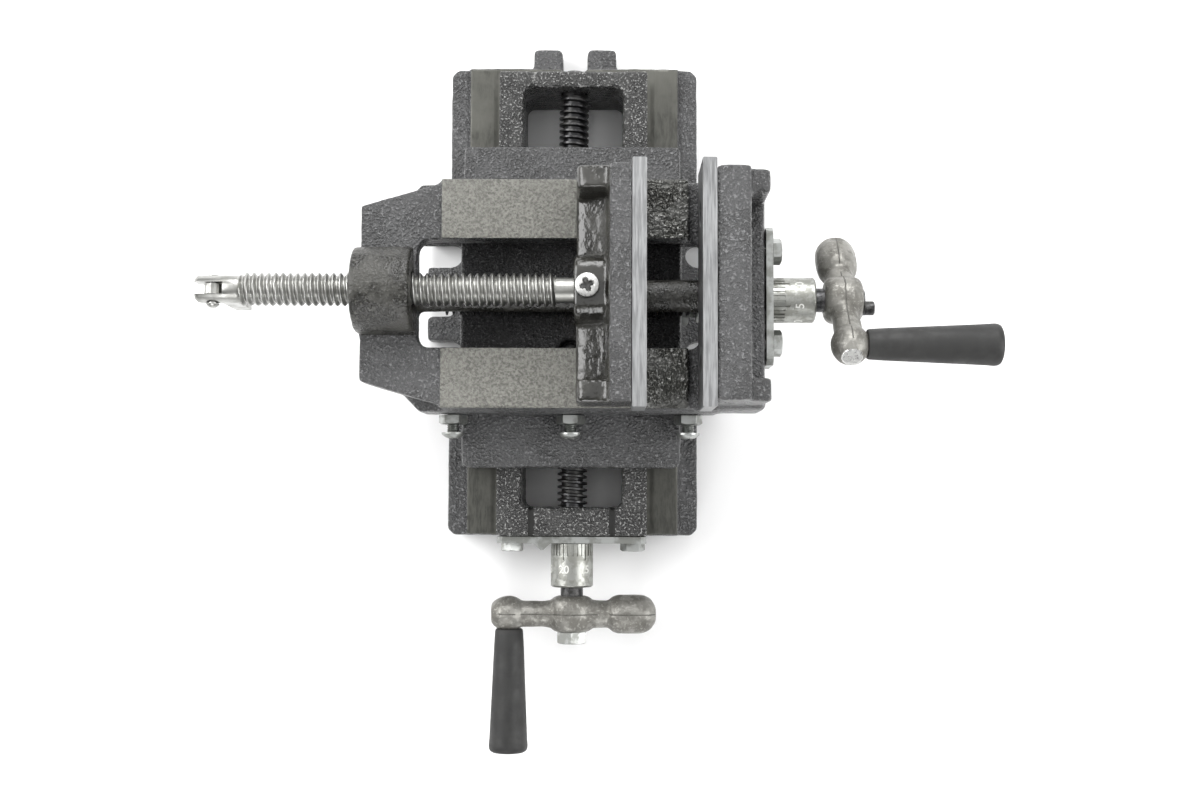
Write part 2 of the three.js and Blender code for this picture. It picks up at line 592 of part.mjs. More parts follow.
function makeSaddle() {
  const [halfX, halfY] = [SADDLE_WIDTH / 2, SADDLE_LENGTH / 2];
  const crossRoot = flank(CROSS_DOVETAIL_WIDTH, CROSS_TOP, SADDLE_TOP);
  const crossTop = CROSS_DOVETAIL_WIDTH / 2;
  const block = joined(
    prism('z', chamferedRectangle(-halfX, halfX, -halfY, halfY, 2), SADDLE_BOTTOM, SADDLE_TOP),
    prism('x', [
      [-crossRoot, SADDLE_TOP - 2], [crossRoot, SADDLE_TOP - 2], [crossRoot, SADDLE_TOP],
      [crossTop, CROSS_TOP], [-crossTop, CROSS_TOP], [-crossRoot, SADDLE_TOP],
    ], -halfX, halfX),
  );
  const gibHoles = gibPlaces.map((y) =>
    rod('x', BOLT_BORE, 20, halfX + 1, [0, y, SADDLE_GIB_SCREW_Z], SMALL_ROUND));
  const nutHoles = [-1, 1].map((side) =>
    rod('z', BOLT_BORE, CROSS_TOP - 12, CROSS_TOP + 1, [X_NUT_OFFSET, side * NUT_SCREW_Y, 0], SMALL_ROUND));
  return cut(
    block,
    prism('y', dovetailSpace(BASE_DOVETAIL_WIDTH, BASE_WAY_HEIGHT, BASE_TOP, 1), -halfY - 1, halfY + 1),
    gibHoles,
    nutHoles,
    rod('z', BOLT_BORE, BASE_TOP, CROSS_TOP + 1, [0, Y_NUT_OFFSET, 0], SMALL_ROUND),
    rod('z', 11, CROSS_TOP - 5.6, CROSS_TOP + 1, [0, Y_NUT_OFFSET, 0]),
  );
}

const gibPlaces = [-1, 0, 1].map((step) => step * GIB_SCREW_SPACING * 0.88);

function makeYFeedNut() {
  const half = NUT_WIDTH / 2;
  const bottom = Y_AXIS_Z - THREAD_BORE / 2 - 3.6;
  return cut(
    box(-half, half, Y_NUT_OFFSET - NUT_LENGTH / 2, Y_NUT_OFFSET + NUT_LENGTH / 2, bottom, BASE_TOP),
    rod('y', THREAD_BORE, Y_NUT_OFFSET - NUT_LENGTH, Y_NUT_OFFSET + NUT_LENGTH, [0, 0, Y_AXIS_Z]),
    rod('z', BOLT_BORE, BASE_TOP - 6, BASE_TOP + 1, [0, Y_NUT_OFFSET, 0], SMALL_ROUND),
  );
}

function makeXFeedNut() {
  const half = NUT_WIDTH / 2;
  const seat = CROSS_TOP + CLEARANCE;
  const flange = seat + 5;
  const top = RAIL_UNDERSIDE - 2 * CLEARANCE;
  const [x0, x1] = [X_NUT_OFFSET - NUT_LENGTH / 2, X_NUT_OFFSET + NUT_LENGTH / 2];
  const holes = [-1, 1].map((side) =>
    rod('z', BOLT_BORE, seat - 1, flange + 1, [X_NUT_OFFSET, side * NUT_SCREW_Y, 0], SMALL_ROUND));
  return cut(
    joined(box(x0, x1, -half, half, seat, top), box(x0, x1, -half - 9.4, half + 9.4, seat, flange)),
    rod('x', THREAD_BORE, x0 - 1, x1 + 1, [0, 0, X_AXIS_Z]),
    holes,
  );
}

// ---------------------------------------------------------------- vise body

function bodyOutline() {
  const deck = RAIL_TOP - BODY_DECK_TOP;
  const wing = [
    [BODY_LEFT, -WING_END_WIDTH / 2], [RAIL_LEFT, -WING_ROOT_WIDTH / 2], [RAIL_LEFT, WING_ROOT_WIDTH / 2],
    [BODY_LEFT, WING_END_WIDTH / 2],
  ];
  const shelf = SLOT_CEILING + 16;
  const halfRail = RAIL_OUTER_WIDTH / 2;
  const halfSkirt = SKIRT_WIDTH / 2;
  return joined(
    prism('z', chamferedRectangle(SKIRT_LEFT, SKIRT_RIGHT, -halfSkirt, halfSkirt, 6), BODY_BOTTOM, shelf),
    prism('z', wing, shelf - 2, WING_TOP),
    box(RAIL_LEFT - 1, RAIL_RIGHT, -halfRail, halfRail, shelf - 2, RAIL_TOP),
    box(RAIL_RIGHT - 1, FIXED_JAW_X, -halfRail, halfRail, shelf - 2, RAIL_TOP - 2.5 * deck),
    prism('z', chamferedRectangle(SLOT_RIGHT - 6, BODY_RIGHT, -halfSkirt + 0.4, halfSkirt - 0.4, 1.5),
      SLOT_CEILING, BODY_DECK_TOP - deck),
    prism('z', chamferedRectangle(FIXED_JAW_X, BODY_RIGHT - 0.6, -halfSkirt + 1, halfSkirt - 1, 2),
      SLOT_CEILING + 10, BODY_DECK_TOP),
  );
}

function fixedJaw() {
  const half = FIXED_BLOCK_WIDTH / 2;
  const [low, high] = [BODY_DECK_TOP - 5, JAW_TOP];
  const wall = prism('y', [
    [FIXED_JAW_X, low], [FIXED_JAW_BACK + 1.4, low],
    [FIXED_JAW_BACK, high - 1.5], [FIXED_JAW_BACK - 1.5, high],
    [FIXED_JAW_X, high],
  ], -half, half);
  const buttress = [
    [FIXED_JAW_BACK - 3, low], [BODY_RIGHT - 0.6, low], [BODY_RIGHT - 0.9, high - 9.6],
    [BODY_RIGHT - 2.4, high - 8], [FIXED_JAW_BACK - 3, high - 6.4],
  ];
  const thickness = JAW_RIB_WIDTH;
  return [
    wall,
    prism('y', buttress, half - thickness, half),
    prism('y', buttress, -half, -half + thickness),
  ];
}

function nutBoss() {
  const arch = new THREE.Shape();
  const foot = WING_TOP - 9;
  arch.moveTo(NUT_BOSS_RADIUS, foot);
  arch.absarc(0, JAW_AXIS_Z, NUT_BOSS_RADIUS, 0, Math.PI);
  arch.lineTo(-NUT_BOSS_RADIUS, foot);
  return prism('x', arch, BODY_LEFT - 0.4, SLOT_LEFT);
}

function screwCover() {
  const half = SCREW_COVER_WIDTH / 2;
  const crown = X_AXIS_Z + THREAD_BORE / 2 + 2.6 + 2 * CLEARANCE + SCREW_COVER_HEIGHT;
  const foot = crown - SCREW_COVER_HEIGHT;
  const hood = new THREE.Shape();
  hood.moveTo(half, foot);
  hood.absellipse(0, crown - 5.5, half, 5.5, 0, Math.PI);
  hood.lineTo(-half, foot);
  return prism('x', hood, SLOT_LEFT - 1, SLOT_RIGHT + 1);
}

function bodyHoles() {
  const across = SKIRT_WIDTH / 2;
  const gibHoles = bodyGibPlaces.map((x) =>
    rod('y', BOLT_BORE, -across - 1, -20, [x, 0, BODY_GIB_SCREW_Z], SMALL_ROUND));
  const plateHoles = [-1, 1].map((side) =>
    rod('x', BOLT_BORE, BODY_RIGHT - 12, BODY_RIGHT + 1,
      [0, (side * X_PLATE_BOLT_SPACING) / 2, X_PLATE_BOLT_Z], SMALL_ROUND));
  const jawHoles = [-1, 1].map((side) =>
    rod('x', BOLT_BORE, FIXED_JAW_X - 1, FIXED_JAW_X + 10,
      [0, (side * PLATE_SCREW_SPACING) / 2, PLATE_MIDDLE], SMALL_ROUND));
  return [
    ...gibHoles, ...plateHoles, ...jawHoles,
    rod('x', JOURNAL_BORE, CAVITY_RIGHT - 1, BODY_RIGHT + 1, [0, 0, X_AXIS_Z]),
    rod('x', THREAD_BORE, BODY_LEFT - 2, SLOT_LEFT + 1, [0, 0, JAW_AXIS_Z]),
  ];
}

const bodyGibPlaces = [-1, 0, 1].map((step) => step * GIB_SCREW_SPACING);

function makeViseBody() {
  const halfSlot = SLOT_BETWEEN_RAILS / 2;
  const halfCavity = CAVITY_WIDTH / 2;
  const opened = cut(
    joined(bodyOutline(), nutBoss()),
    prism('z', roundedRectangle(SLOT_LEFT, SLOT_RIGHT, -halfSlot, halfSlot, 5), BODY_BOTTOM, RAIL_TOP + 1),
    box(SKIRT_LEFT - 1, CAVITY_RIGHT, -halfCavity, halfCavity, SLOT_CEILING - 1, RAIL_UNDERSIDE),
    prism('x', dovetailSpace(CROSS_DOVETAIL_WIDTH, SADDLE_TOP, CROSS_TOP, -1),
      SKIRT_LEFT - 1, BODY_RIGHT + 1),
  );
  return cut(joined(opened, fixedJaw(), screwCover()), bodyHoles());
}

// A hardened jaw plate, with its gripping face at local x = 0 and its back at +X.
function makeJawPlate() {
  const half = JAW_WIDTH / 2;
  const outline = chamferedRectangle(0, JAW_PLATE_THICKNESS, -half, half, 0.4);
  const plate = prism('z', outline, PLATE_BOTTOM, JAW_TOP);
  const holes = [-1, 1].map((side) => plateScrewShape(CLEARANCE).rotate([0, -90, 0])
    .translate([0, (side * PLATE_SCREW_SPACING) / 2, PLATE_MIDDLE]));
  const through = [-1, 1].map((side) =>
    rod('x', BOLT_BORE, 0, JAW_PLATE_THICKNESS + 1,
      [0, (side * PLATE_SCREW_SPACING) / 2, PLATE_MIDDLE], SMALL_ROUND));
  return cut(plate, holes, through);
}

const plateScrewShape = (spread) =>
  countersunkScrew(10.5, BOLT_DIAMETER, 14.5, spread).translate([0, 0, spread > 0 ? 0 : -0.2]);

// ---------------------------------------------------------------- movable jaw

function jawHollows() {
  const foot = RAIL_TOP + CLEARANCE;
  return [
    [MOVING_FOOT_BACK, foot], [MOVING_WALL_X, foot], [MOVING_WALL_X, foot + 18],
    [MOVING_WALL_BACK, foot + 15], [MOVING_FOOT_BACK + 3, foot + MOVING_FOOT_HEIGHT],
    [MOVING_FOOT_BACK, foot + MOVING_FOOT_HEIGHT - 1.5],
  ];
}

function socketArch() {
  const half = SCREW_SOCKET_WIDTH / 2;
  const crown = JAW_AXIS_Z + SCREW_SOCKET_TOP;
  return [
    [-half, RAIL_TOP + CLEARANCE], [half, RAIL_TOP + CLEARANCE],
    [half, crown - 6], [half - 1.8, crown - 2.2],
    [half - 5, crown], [5 - half, crown], [1.8 - half, crown - 2.2], [-half, crown - 6],
  ];
}

function makeMovableJaw() {
  const half = MOVING_BLOCK_WIDTH / 2;
  const foot = RAIL_TOP + CLEARANCE;
  const wall = prism('y', [
    [MOVING_WALL_BACK - 1, foot], [MOVING_WALL_X, foot], [MOVING_WALL_X, JAW_TOP],
    [MOVING_WALL_BACK + 1.5, JAW_TOP], [MOVING_WALL_BACK, JAW_TOP - 1.5],
  ], -half, half);
  const rib = [
    [MOVING_FOOT_BACK + 0.5, foot], [MOVING_WALL_BACK + 2, foot], [MOVING_WALL_BACK + 2, JAW_TOP - 4],
    [MOVING_FOOT_BACK + 2.5, JAW_TOP - 6.5], [MOVING_FOOT_BACK + 0.5, JAW_TOP - 9],
  ];
  const tongues = [-1, 1].map((side) => {
    const ys = [side * TONGUE_INNER, side * TONGUE_OUTER].sort((a, b) => a - b);
    return box(KEEPER_X - KEEPER_LENGTH / 2, KEEPER_X + KEEPER_LENGTH / 2, ys[0], ys[1],
      KEEPER_TOP + CLEARANCE, foot + 1);
  });
  const plateHoles = [-1, 1].map((side) => rod('x', BOLT_BORE, MOVING_WALL_X - 9.4, MOVING_WALL_X + 1,
    [0, (side * PLATE_SCREW_SPACING) / 2, PLATE_MIDDLE], SMALL_ROUND));
  const keeperHoles = [-1, 1].map((side) =>
    rod('z', BOLT_BORE, KEEPER_TOP - 1, KEEPER_TOP + 9, [KEEPER_X, side * TONGUE_MIDDLE, 0], SMALL_ROUND));
  const screwEnd = JAW_THREAD_RIGHT + JAW_NECK_LENGTH;
  return cut(
    joined(
      wall,
      prism('y', jawHollows(), -half, half),
      prism('y', rib, half - JAW_RIB_WIDTH, half),
      prism('y', rib, -half, -half + JAW_RIB_WIDTH),
      prism('x', socketArch(), MOVING_FOOT_BACK - 0.6, MOVING_WALL_BACK + 2),
      tongues,
    ),
    rod('x', JAW_NECK_DIAMETER + 2 * CLEARANCE, MOVING_FOOT_BACK - 2, screwEnd + 1, [0, 0, JAW_AXIS_Z]),
    rod('z', BOLT_BORE, JAW_AXIS_Z, JAW_AXIS_Z + SCREW_SOCKET_TOP + 1, [RETAINER_X, 0, 0], SMALL_ROUND),
    plateHoles,
    keeperHoles,
  );
}

function makeKeeper(side) {
  const ys = [side * TONGUE_INNER, side * (CAVITY_WIDTH / 2 - 2)].sort((a, b) => a - b);
  const [low, high] = [KEEPER_TOP - KEEPER_THICKNESS, KEEPER_TOP];
  return cut(
    box(KEEPER_X - KEEPER_LENGTH / 2, KEEPER_X + KEEPER_LENGTH / 2, ys[0], ys[1], low, high),
    rod('z', BOLT_BORE, low - 1, high + 1, [KEEPER_X, side * TONGUE_MIDDLE, 0], SMALL_ROUND),
  );
}

function makeJawScrew() {
  const [thread, fork, neck] = [THREAD_DIAMETER / 2, FORK_DIAMETER / 2, JAW_NECK_DIAMETER / 2];
  const tip = JAW_THREAD_LEFT - FORK_LENGTH;
  const end = JAW_THREAD_RIGHT + JAW_NECK_LENGTH;
  const groove = [RETAINER_X - BOLT_DIAMETER / 2 - 0.4, RETAINER_X + BOLT_DIAMETER / 2 + 0.4];
  const bar = turned('x', [
    [0, tip], [fork - 0.8, tip], [fork, tip + 0.8], [fork, JAW_THREAD_LEFT], [thread - 1.2, JAW_THREAD_LEFT],
    [thread, JAW_THREAD_LEFT + 1.2], [thread, JAW_THREAD_RIGHT - 1.2], [thread - 1.2, JAW_THREAD_RIGHT],
    [neck, JAW_THREAD_RIGHT], [neck, groove[0]], [neck - 1.6, groove[0]], [neck - 1.6, groove[1]],
    [neck, groove[1]], [neck, end], [0, end],
  ], [0, 0, JAW_AXIS_Z]);
  const slot = box(tip - 1, tip + FORK_SLOT_DEPTH, -FORK_SLOT_WIDTH / 2, FORK_SLOT_WIDTH / 2,
    JAW_AXIS_Z - 10, JAW_AXIS_Z + 10);
  const pin = rod('y', RIVET_DIAMETER + 2 * CLEARANCE, -10, 10, [LEVER_PIVOT_X, 0, JAW_AXIS_Z], SMALL_ROUND);
  return cut(bar, slot, pin);
}

function makeLever() {
  const waist = LEVER_EYE_RADIUS - 0.3;
  const end = LEVER_WIDTH / 2;
  const outline = new THREE.Shape();
  const foot = JAW_AXIS_Z - LEVER_LENGTH;
  outline.absarc(LEVER_PIVOT_X, JAW_AXIS_Z, LEVER_EYE_RADIUS, -0.1 * Math.PI, 1.1 * Math.PI);
  outline.lineTo(LEVER_PIVOT_X - waist, JAW_AXIS_Z - 12);
  outline.lineTo(LEVER_PIVOT_X - end, foot + 6);
  outline.absarc(LEVER_PIVOT_X, foot + end, end, Math.PI, 2 * Math.PI);
  outline.lineTo(LEVER_PIVOT_X + end, foot + 6);
  outline.lineTo(LEVER_PIVOT_X + waist, JAW_AXIS_Z - 12);
  return cut(
    prism('y', outline, -LEVER_THICKNESS / 2, LEVER_THICKNESS / 2),
    rod('y', RIVET_DIAMETER + 2 * CLEARANCE, -5, 5, [LEVER_PIVOT_X, 0, JAW_AXIS_Z], SMALL_ROUND),
  );
}

function makeRivet() {
  const [r, head] = [RIVET_DIAMETER / 2, RIVET_HEAD_DIAMETER / 2];
  const seat = FORK_DIAMETER / 2 + CLEARANCE;
  return turned('y', [
    [0, -seat - 1.9], [head * 0.6, -seat - 1.5], [head, -seat - 0.3], [head, -seat], [r, -seat],
    [r, seat - CLEARANCE], [0, seat - CLEARANCE],
  ], [LEVER_PIVOT_X, 0, JAW_AXIS_Z], SMALL_ROUND);
}

// ---------------------------------------------------------------- assembly

// A named mesh from a solid, placed by its position and rotation inside its parent.
function add(parent, name, piece, material, position = [0, 0, 0], rotation = [0, 0, 0]) {
  const { vertProperties, triVerts } = piece.getMesh();
  const geometry = new THREE.BufferGeometry();
  geometry.setAttribute('position', new THREE.Float32BufferAttribute(vertProperties, 3));
  geometry.setIndex(Array.from(triVerts));
  geometry.computeVertexNormals();
  const mesh = new THREE.Mesh(geometry, material);
  mesh.name = name;
  mesh.position.set(...position);
  mesh.rotation.set(...rotation);
  parent.add(mesh);
}

function subgroup(parent, position, rotation = [0, 0, 0]) {
  const group = new THREE.Group();
  group.position.set(...position);
  group.rotation.set(...rotation);
  parent.add(group);
  return group;
}

const QUARTER = Math.PI / 2;
const FACING_FRONT = [QUARTER, 0, 0]; // local +Z points to -Y
const FACING_RIGHT = [0, QUARTER, 0]; // local +Z points to +X
const FACING_RIGHT_UPRIGHT = [QUARTER, QUARTER, 0]; // the same, with local +Y up
const FACING_LEFT = [0, -QUARTER, 0];
const FACING_DOWN = [Math.PI, 0, 0];

// Collar, crank arm, bolt, spindle and grip on the end of a feed screw whose group
// starts at the outer face of the bearing plate and points outward along local Z.
function addCrank(parent, prefix, dialLength, angle, fastener) {
  const hubStart = dialLength + CLEARANCE + DIAL_TO_HUB;
  const handle = subgroup(parent, [0, 0, 0], [0, 0, angle]);
  const ballMiddle = hubStart + HUB_LENGTH / 2;
  const gripStart = ballMiddle + HANDLE_BALL_RADIUS - HANDLE_BALL_FLAT + CLEARANCE;
  add(parent, `${prefix}_dial_collar`, makeDial(dialLength), brightSteel, [0, 0, CLEARANCE]);
  add(handle, `${prefix}_crank_arm`, makeCrankArm(), castZinc, [0, 0, hubStart]);
  add(handle, fastener.name, fastener.piece, fastener.material, [0, 0, hubStart + HUB_LENGTH + CLEARANCE],
    [0, 0, fastener.turn]);
  add(handle, `${prefix}_handle_spindle`, makeSpindle(HANDLE_BALL_RADIUS * 2 - 4), blackOxide,
    [-CRANK_RADIUS, 0, gripStart]);
  add(handle, `${prefix}_handle_grip`, makeGrip(), gripPlastic, [-CRANK_RADIUS, 0, gripStart]);
}

const journalLength = (wall, dialLength) =>
  wall + 2 * CLEARANCE + BEARING_PLATE_THICKNESS + CLEARANCE + dialLength + DIAL_TO_HUB + HUB_LENGTH - 5;

// The X crank's end screw: a tab washer with a dark lug that stands off the shaft's axis.
function makeEndScrew() {
  const offset = -2.4;
  return joined(
    prism('z', chamferedRectangle(-6, 4.4, -6, 4.4, 1.5), 0, 0.9),
    rod('z', 6.2, 0.4, 5.4, [offset, offset, 0], SMALL_ROUND),
    rod('z', CRANK_STUD_DIAMETER, -10, 0.5, [0, 0, 0], SMALL_ROUND),
  );
}

function addBase(vise) {
  add(vise, 'base', makeBase(), castPaint);
  const face = subgroup(vise, [0, Y_FRONT - CLEARANCE, Y_AXIS_Z], FACING_FRONT);
  const above = Y_AXIS_Z - Y_PLATE_Z;
  add(face, 'y_bearing_plate',
    makeBearingPlate(Y_PLATE_WIDTH, above, Y_PLATE_BOLT_SPACING, Y_PLATE_BOLT_Z - Y_PLATE_Z, -13.6,
      true),
    brightSteel);
  [['left', -1], ['right', 1]].forEach(([side, sign]) => add(face, `y_plate_bolt_${side}`,
    hexBolt(HEX_ACROSS_FLATS, HEX_HEAD_HEIGHT, BOLT_DIAMETER, 12), brightSteel,
    [(sign * Y_PLATE_BOLT_SPACING) / 2, Y_PLATE_BOLT_Z - Y_AXIS_Z, BEARING_PLATE_THICKNESS + CLEARANCE],
    [0, 0, sign < 0 ? QUARTER : 0]));
  const inner = subgroup(vise, [0, -WINDOW_HALF_LENGTH + CLEARANCE, Y_AXIS_Z], FACING_FRONT);
  add(inner, 'y_lead_screw',
    makeLeadScrew(2 * (WINDOW_HALF_LENGTH - CLEARANCE), BASE_END_WALL - 2,
      journalLength(BASE_END_WALL, Y_DIAL_LENGTH)), blackOxide);
  const crank = subgroup(face, [0, 0, BEARING_PLATE_THICKNESS]);
  const piece = hexBolt(13, 5.4, CRANK_STUD_DIAMETER, 10);
  const bolt = { name: 'y_crank_bolt', piece, material: brightSteel, turn: QUARTER };
  addCrank(crank, 'y', Y_DIAL_LENGTH, 0, bolt);
}

function addSaddle(slide) {
  add(slide, 'saddle', makeSaddle(), castPaint);
  add(slide, 'y_feed_nut', makeYFeedNut(), bronze);
  add(slide, 'y_nut_screw', panScrew(PAN_HEAD_DIAMETER, 4.6, BOLT_DIAMETER, CROSS_TOP - 5.6 - BASE_TOP + 4),
    blackOxide, [0, Y_NUT_OFFSET, CROSS_TOP - 5.6 + CLEARANCE]);
  add(slide, 'x_feed_nut', makeXFeedNut(), bronze);
  [[1, -1], [2, 1]].forEach(([number, side]) => add(slide, `x_nut_screw_${number}`,
    panScrew(8.2, PAN_HEAD_HEIGHT, BOLT_DIAMETER, 15), brightSteel,
    [X_NUT_OFFSET, side * NUT_SCREW_Y, CROSS_TOP + 5 + 2 * CLEARANCE]));
  const half = SADDLE_LENGTH / 2 - 1;
  add(slide, 'saddle_gib',
    prism('y', gibSection(BASE_DOVETAIL_WIDTH, BASE_WAY_HEIGHT, BASE_TOP, 1), -half, half), brightSteel);
  const tip = gibScrewTip(BASE_DOVETAIL_WIDTH, BASE_TOP, SADDLE_GIB_SCREW_Z);
  gibPlaces.forEach((y, i) => addGibScrew(slide, 'saddle', i + 1, SADDLE_WIDTH / 2, tip,
    [0, y, SADDLE_GIB_SCREW_Z], FACING_RIGHT));
}

// One adjusting screw and its locknut, on the flank at the given distance from the middle.
function addGibScrew(parent, prefix, number, wall, tip, origin, rotation) {
  const place = subgroup(parent, origin, rotation);
  const nutEnd = wall + CLEARANCE + LOCKNUT_THICKNESS;
  const headStart = nutEnd + GIB_SCREW_STANDOFF;
  add(place, `${prefix}_gib_screw_${number}`,
    panScrew(PAN_HEAD_DIAMETER, PAN_HEAD_HEIGHT, BOLT_DIAMETER, headStart - tip), brightSteel,
    [0, 0, headStart]);
  const turnFlat = rotation === FACING_RIGHT ? QUARTER : 0;
  add(place, `${prefix}_gib_locknut_${number}`,
    locknut(LOCKNUT_ACROSS_FLATS, LOCKNUT_THICKNESS, BOLT_BORE), brightSteel,
    [0, 0, wall + CLEARANCE], [0, 0, turnFlat]);
}

function addJawPlate(parent, prefix, faceX, rotation) {
  const plate = subgroup(parent, [faceX, 0, 0], rotation);
  add(plate, `${prefix}_jaw_plate`, makeJawPlate(), brightSteel);
  [[1, -1], [2, 1]].forEach(([number, side]) => add(plate, `${prefix}_plate_screw_${number}`,
    plateScrewShape(0), blackOxide, [0, (side * PLATE_SCREW_SPACING) / 2, PLATE_MIDDLE], FACING_LEFT));
}

function addViseBody(slide) {
  add(slide, 'vise_body', makeViseBody(), castPaint);
  addJawPlate(slide, 'fixed', JAW_PLATE_FACE, [0, 0, 0]);
  add(slide, 'body_gib',
    prism('x', gibSection(CROSS_DOVETAIL_WIDTH, SADDLE_TOP, CROSS_TOP, -1), SKIRT_LEFT + 1, SKIRT_RIGHT - 1),
    brightSteel);
  const tip = gibScrewTip(CROSS_DOVETAIL_WIDTH, CROSS_TOP, BODY_GIB_SCREW_Z);
  bodyGibPlaces.forEach((x, i) => addGibScrew(slide, 'body', i + 1, SKIRT_WIDTH / 2, tip,
    [x, 0, BODY_GIB_SCREW_Z], FACING_FRONT));
  const face = subgroup(slide, [BODY_RIGHT + CLEARANCE, 0, X_AXIS_Z], FACING_RIGHT_UPRIGHT);
  const above = X_AXIS_Z - X_PLATE_Z;
  add(face, 'x_bearing_plate',
    makeBearingPlate(X_PLATE_WIDTH, above, X_PLATE_BOLT_SPACING, X_PLATE_BOLT_Z - X_PLATE_Z, -14.4,
      false),
    brightSteel);
  [[1, -1], [2, 1]].forEach(([number, side]) => add(face, `x_plate_bolt_${number}`,
    hexBolt(HEX_ACROSS_FLATS, HEX_HEAD_HEIGHT, BOLT_DIAMETER, 12), brightSteel,
    [(side * X_PLATE_BOLT_SPACING) / 2, X_PLATE_BOLT_Z - X_AXIS_Z, BEARING_PLATE_THICKNESS + CLEARANCE]));
  const inner = subgroup(slide, [CAVITY_RIGHT - CLEARANCE, 0, X_AXIS_Z], FACING_RIGHT);
  add(inner, 'x_lead_screw', makeLeadScrew(CAVITY_RIGHT - CLEARANCE - X_THREAD_LEFT, 0,
    journalLength(BODY_END_WALL, X_DIAL_LENGTH)), blackOxide);
  const plateFace = BODY_RIGHT + CLEARANCE + BEARING_PLATE_THICKNESS;
  const crank = subgroup(slide, [plateFace, 0, X_AXIS_Z], FACING_RIGHT);
  const stub = { name: 'x_crank_end_screw', piece: makeEndScrew(), material: blackOxide, turn: 0 };
  addCrank(crank, 'x', X_DIAL_LENGTH, X_CRANK_ANGLE, stub);
}

function addMovableJaw(slide) {
  add(slide, 'movable_jaw', makeMovableJaw(), glossPaint);
  addJawPlate(slide, 'moving', MOVING_FACE, [0, 0, Math.PI]);
  [['front', -1], ['back', 1]].forEach(([place, side]) => {
    add(slide, `jaw_keeper_${place}`, makeKeeper(side), brightSteel);
    add(slide, `keeper_screw_${place}`, panScrew(PAN_HEAD_DIAMETER, PAN_HEAD_HEIGHT, BOLT_DIAMETER, 14),
      brightSteel, [KEEPER_X, side * TONGUE_MIDDLE, KEEPER_TOP - KEEPER_THICKNESS - CLEARANCE], FACING_DOWN);
  });
  const retainer = panScrew(PAN_HEAD_DIAMETER, PAN_HEAD_HEIGHT, BOLT_DIAMETER, SCREW_SOCKET_TOP - 4);
  add(slide, 'screw_retainer', retainer, brightSteel,
    [RETAINER_X, 0, JAW_AXIS_Z + SCREW_SOCKET_TOP + CLEARANCE]);
  add(slide, 'jaw_screw', makeJawScrew(), brightSteel);
  add(slide, 'lever_rivet', makeRivet(), brightSteel);
  add(slide, 'folding_lever', makeLever(), brightSteel);
}

const vise = new THREE.Group();
const slide = subgroup(vise, [0, SADDLE_REST_Y, 0]);
addBase(vise);
addSaddle(slide);
addViseBody(slide);
addMovableJaw(slide);

export default vise;
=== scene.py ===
"""The looks of a compound bench vise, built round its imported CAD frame. Lengths inside the
builders are millimetres, and each piece is scaled to metres when it becomes an object."""
import itertools
import math

import bmesh
import bpy
import numpy as np
from mathutils import Matrix, Vector


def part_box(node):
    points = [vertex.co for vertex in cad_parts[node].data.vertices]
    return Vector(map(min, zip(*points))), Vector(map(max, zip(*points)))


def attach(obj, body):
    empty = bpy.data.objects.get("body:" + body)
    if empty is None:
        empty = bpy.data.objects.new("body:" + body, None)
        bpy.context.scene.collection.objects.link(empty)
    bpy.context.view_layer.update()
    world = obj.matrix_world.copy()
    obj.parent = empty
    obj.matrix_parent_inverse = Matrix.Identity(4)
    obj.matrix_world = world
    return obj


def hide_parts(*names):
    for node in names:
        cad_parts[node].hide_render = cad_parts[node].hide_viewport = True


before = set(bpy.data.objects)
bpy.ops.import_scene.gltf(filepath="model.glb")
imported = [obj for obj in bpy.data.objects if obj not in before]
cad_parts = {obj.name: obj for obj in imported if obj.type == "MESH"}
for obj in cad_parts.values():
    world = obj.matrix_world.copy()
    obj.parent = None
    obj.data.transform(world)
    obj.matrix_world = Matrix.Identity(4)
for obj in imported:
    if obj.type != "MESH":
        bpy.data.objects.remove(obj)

bl_info = {
    "name": "Compound Bench Vise",
    "version": (1, 0, 0),
    "blender": (4, 5, 0),
    "location": "3D View > Sidebar > Bench Vise",
    "description": "Builds the visible pieces of a cross-slide bench vise",
    "category": "Object",
}

MM = 0.001
FULL_TURN = 2 * math.pi
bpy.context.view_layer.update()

# Where the CAD's surfaces and axes lie, in millimetres
LINE_Y = -6.8  # the body's middle line, which the X and jaw screws run along
WAY_TOP = 28.0
WAY_EDGE = 49.9
DOVETAIL_TOP = 41.7
FLANK_X, FLANK_REACH = 31.5, 5.5
SADDLE_SOLE = 28.3
RAIL_TOP = 98.5
RAIL_LEFT, RAIL_RIGHT = -54.2, 51.0
DARK_RAIL_FROM = 26.0  # the rails take a darker finish, with painted glint flecks, from here to the fixed jaw
FIXED_JAW_FACE = 60.4
MOVABLE_JAW_FACE = 25.9
MOVABLE_JAW_SOLE = 98.8
Y_SCREW_Z, X_SCREW_Z, JAW_SCREW_Z = 27.0, 77.0, 107.0
Y_DIAL_START, X_DIAL_START = -114.2, 87.2
Y_CRANK_START, X_CRANK_START = -138.8, 110.7
Y_THREAD_END, X_THREAD_END = 96.9, 68.0
JAW_THREAD_START, JAW_THREAD_END = -135.9, -5.2

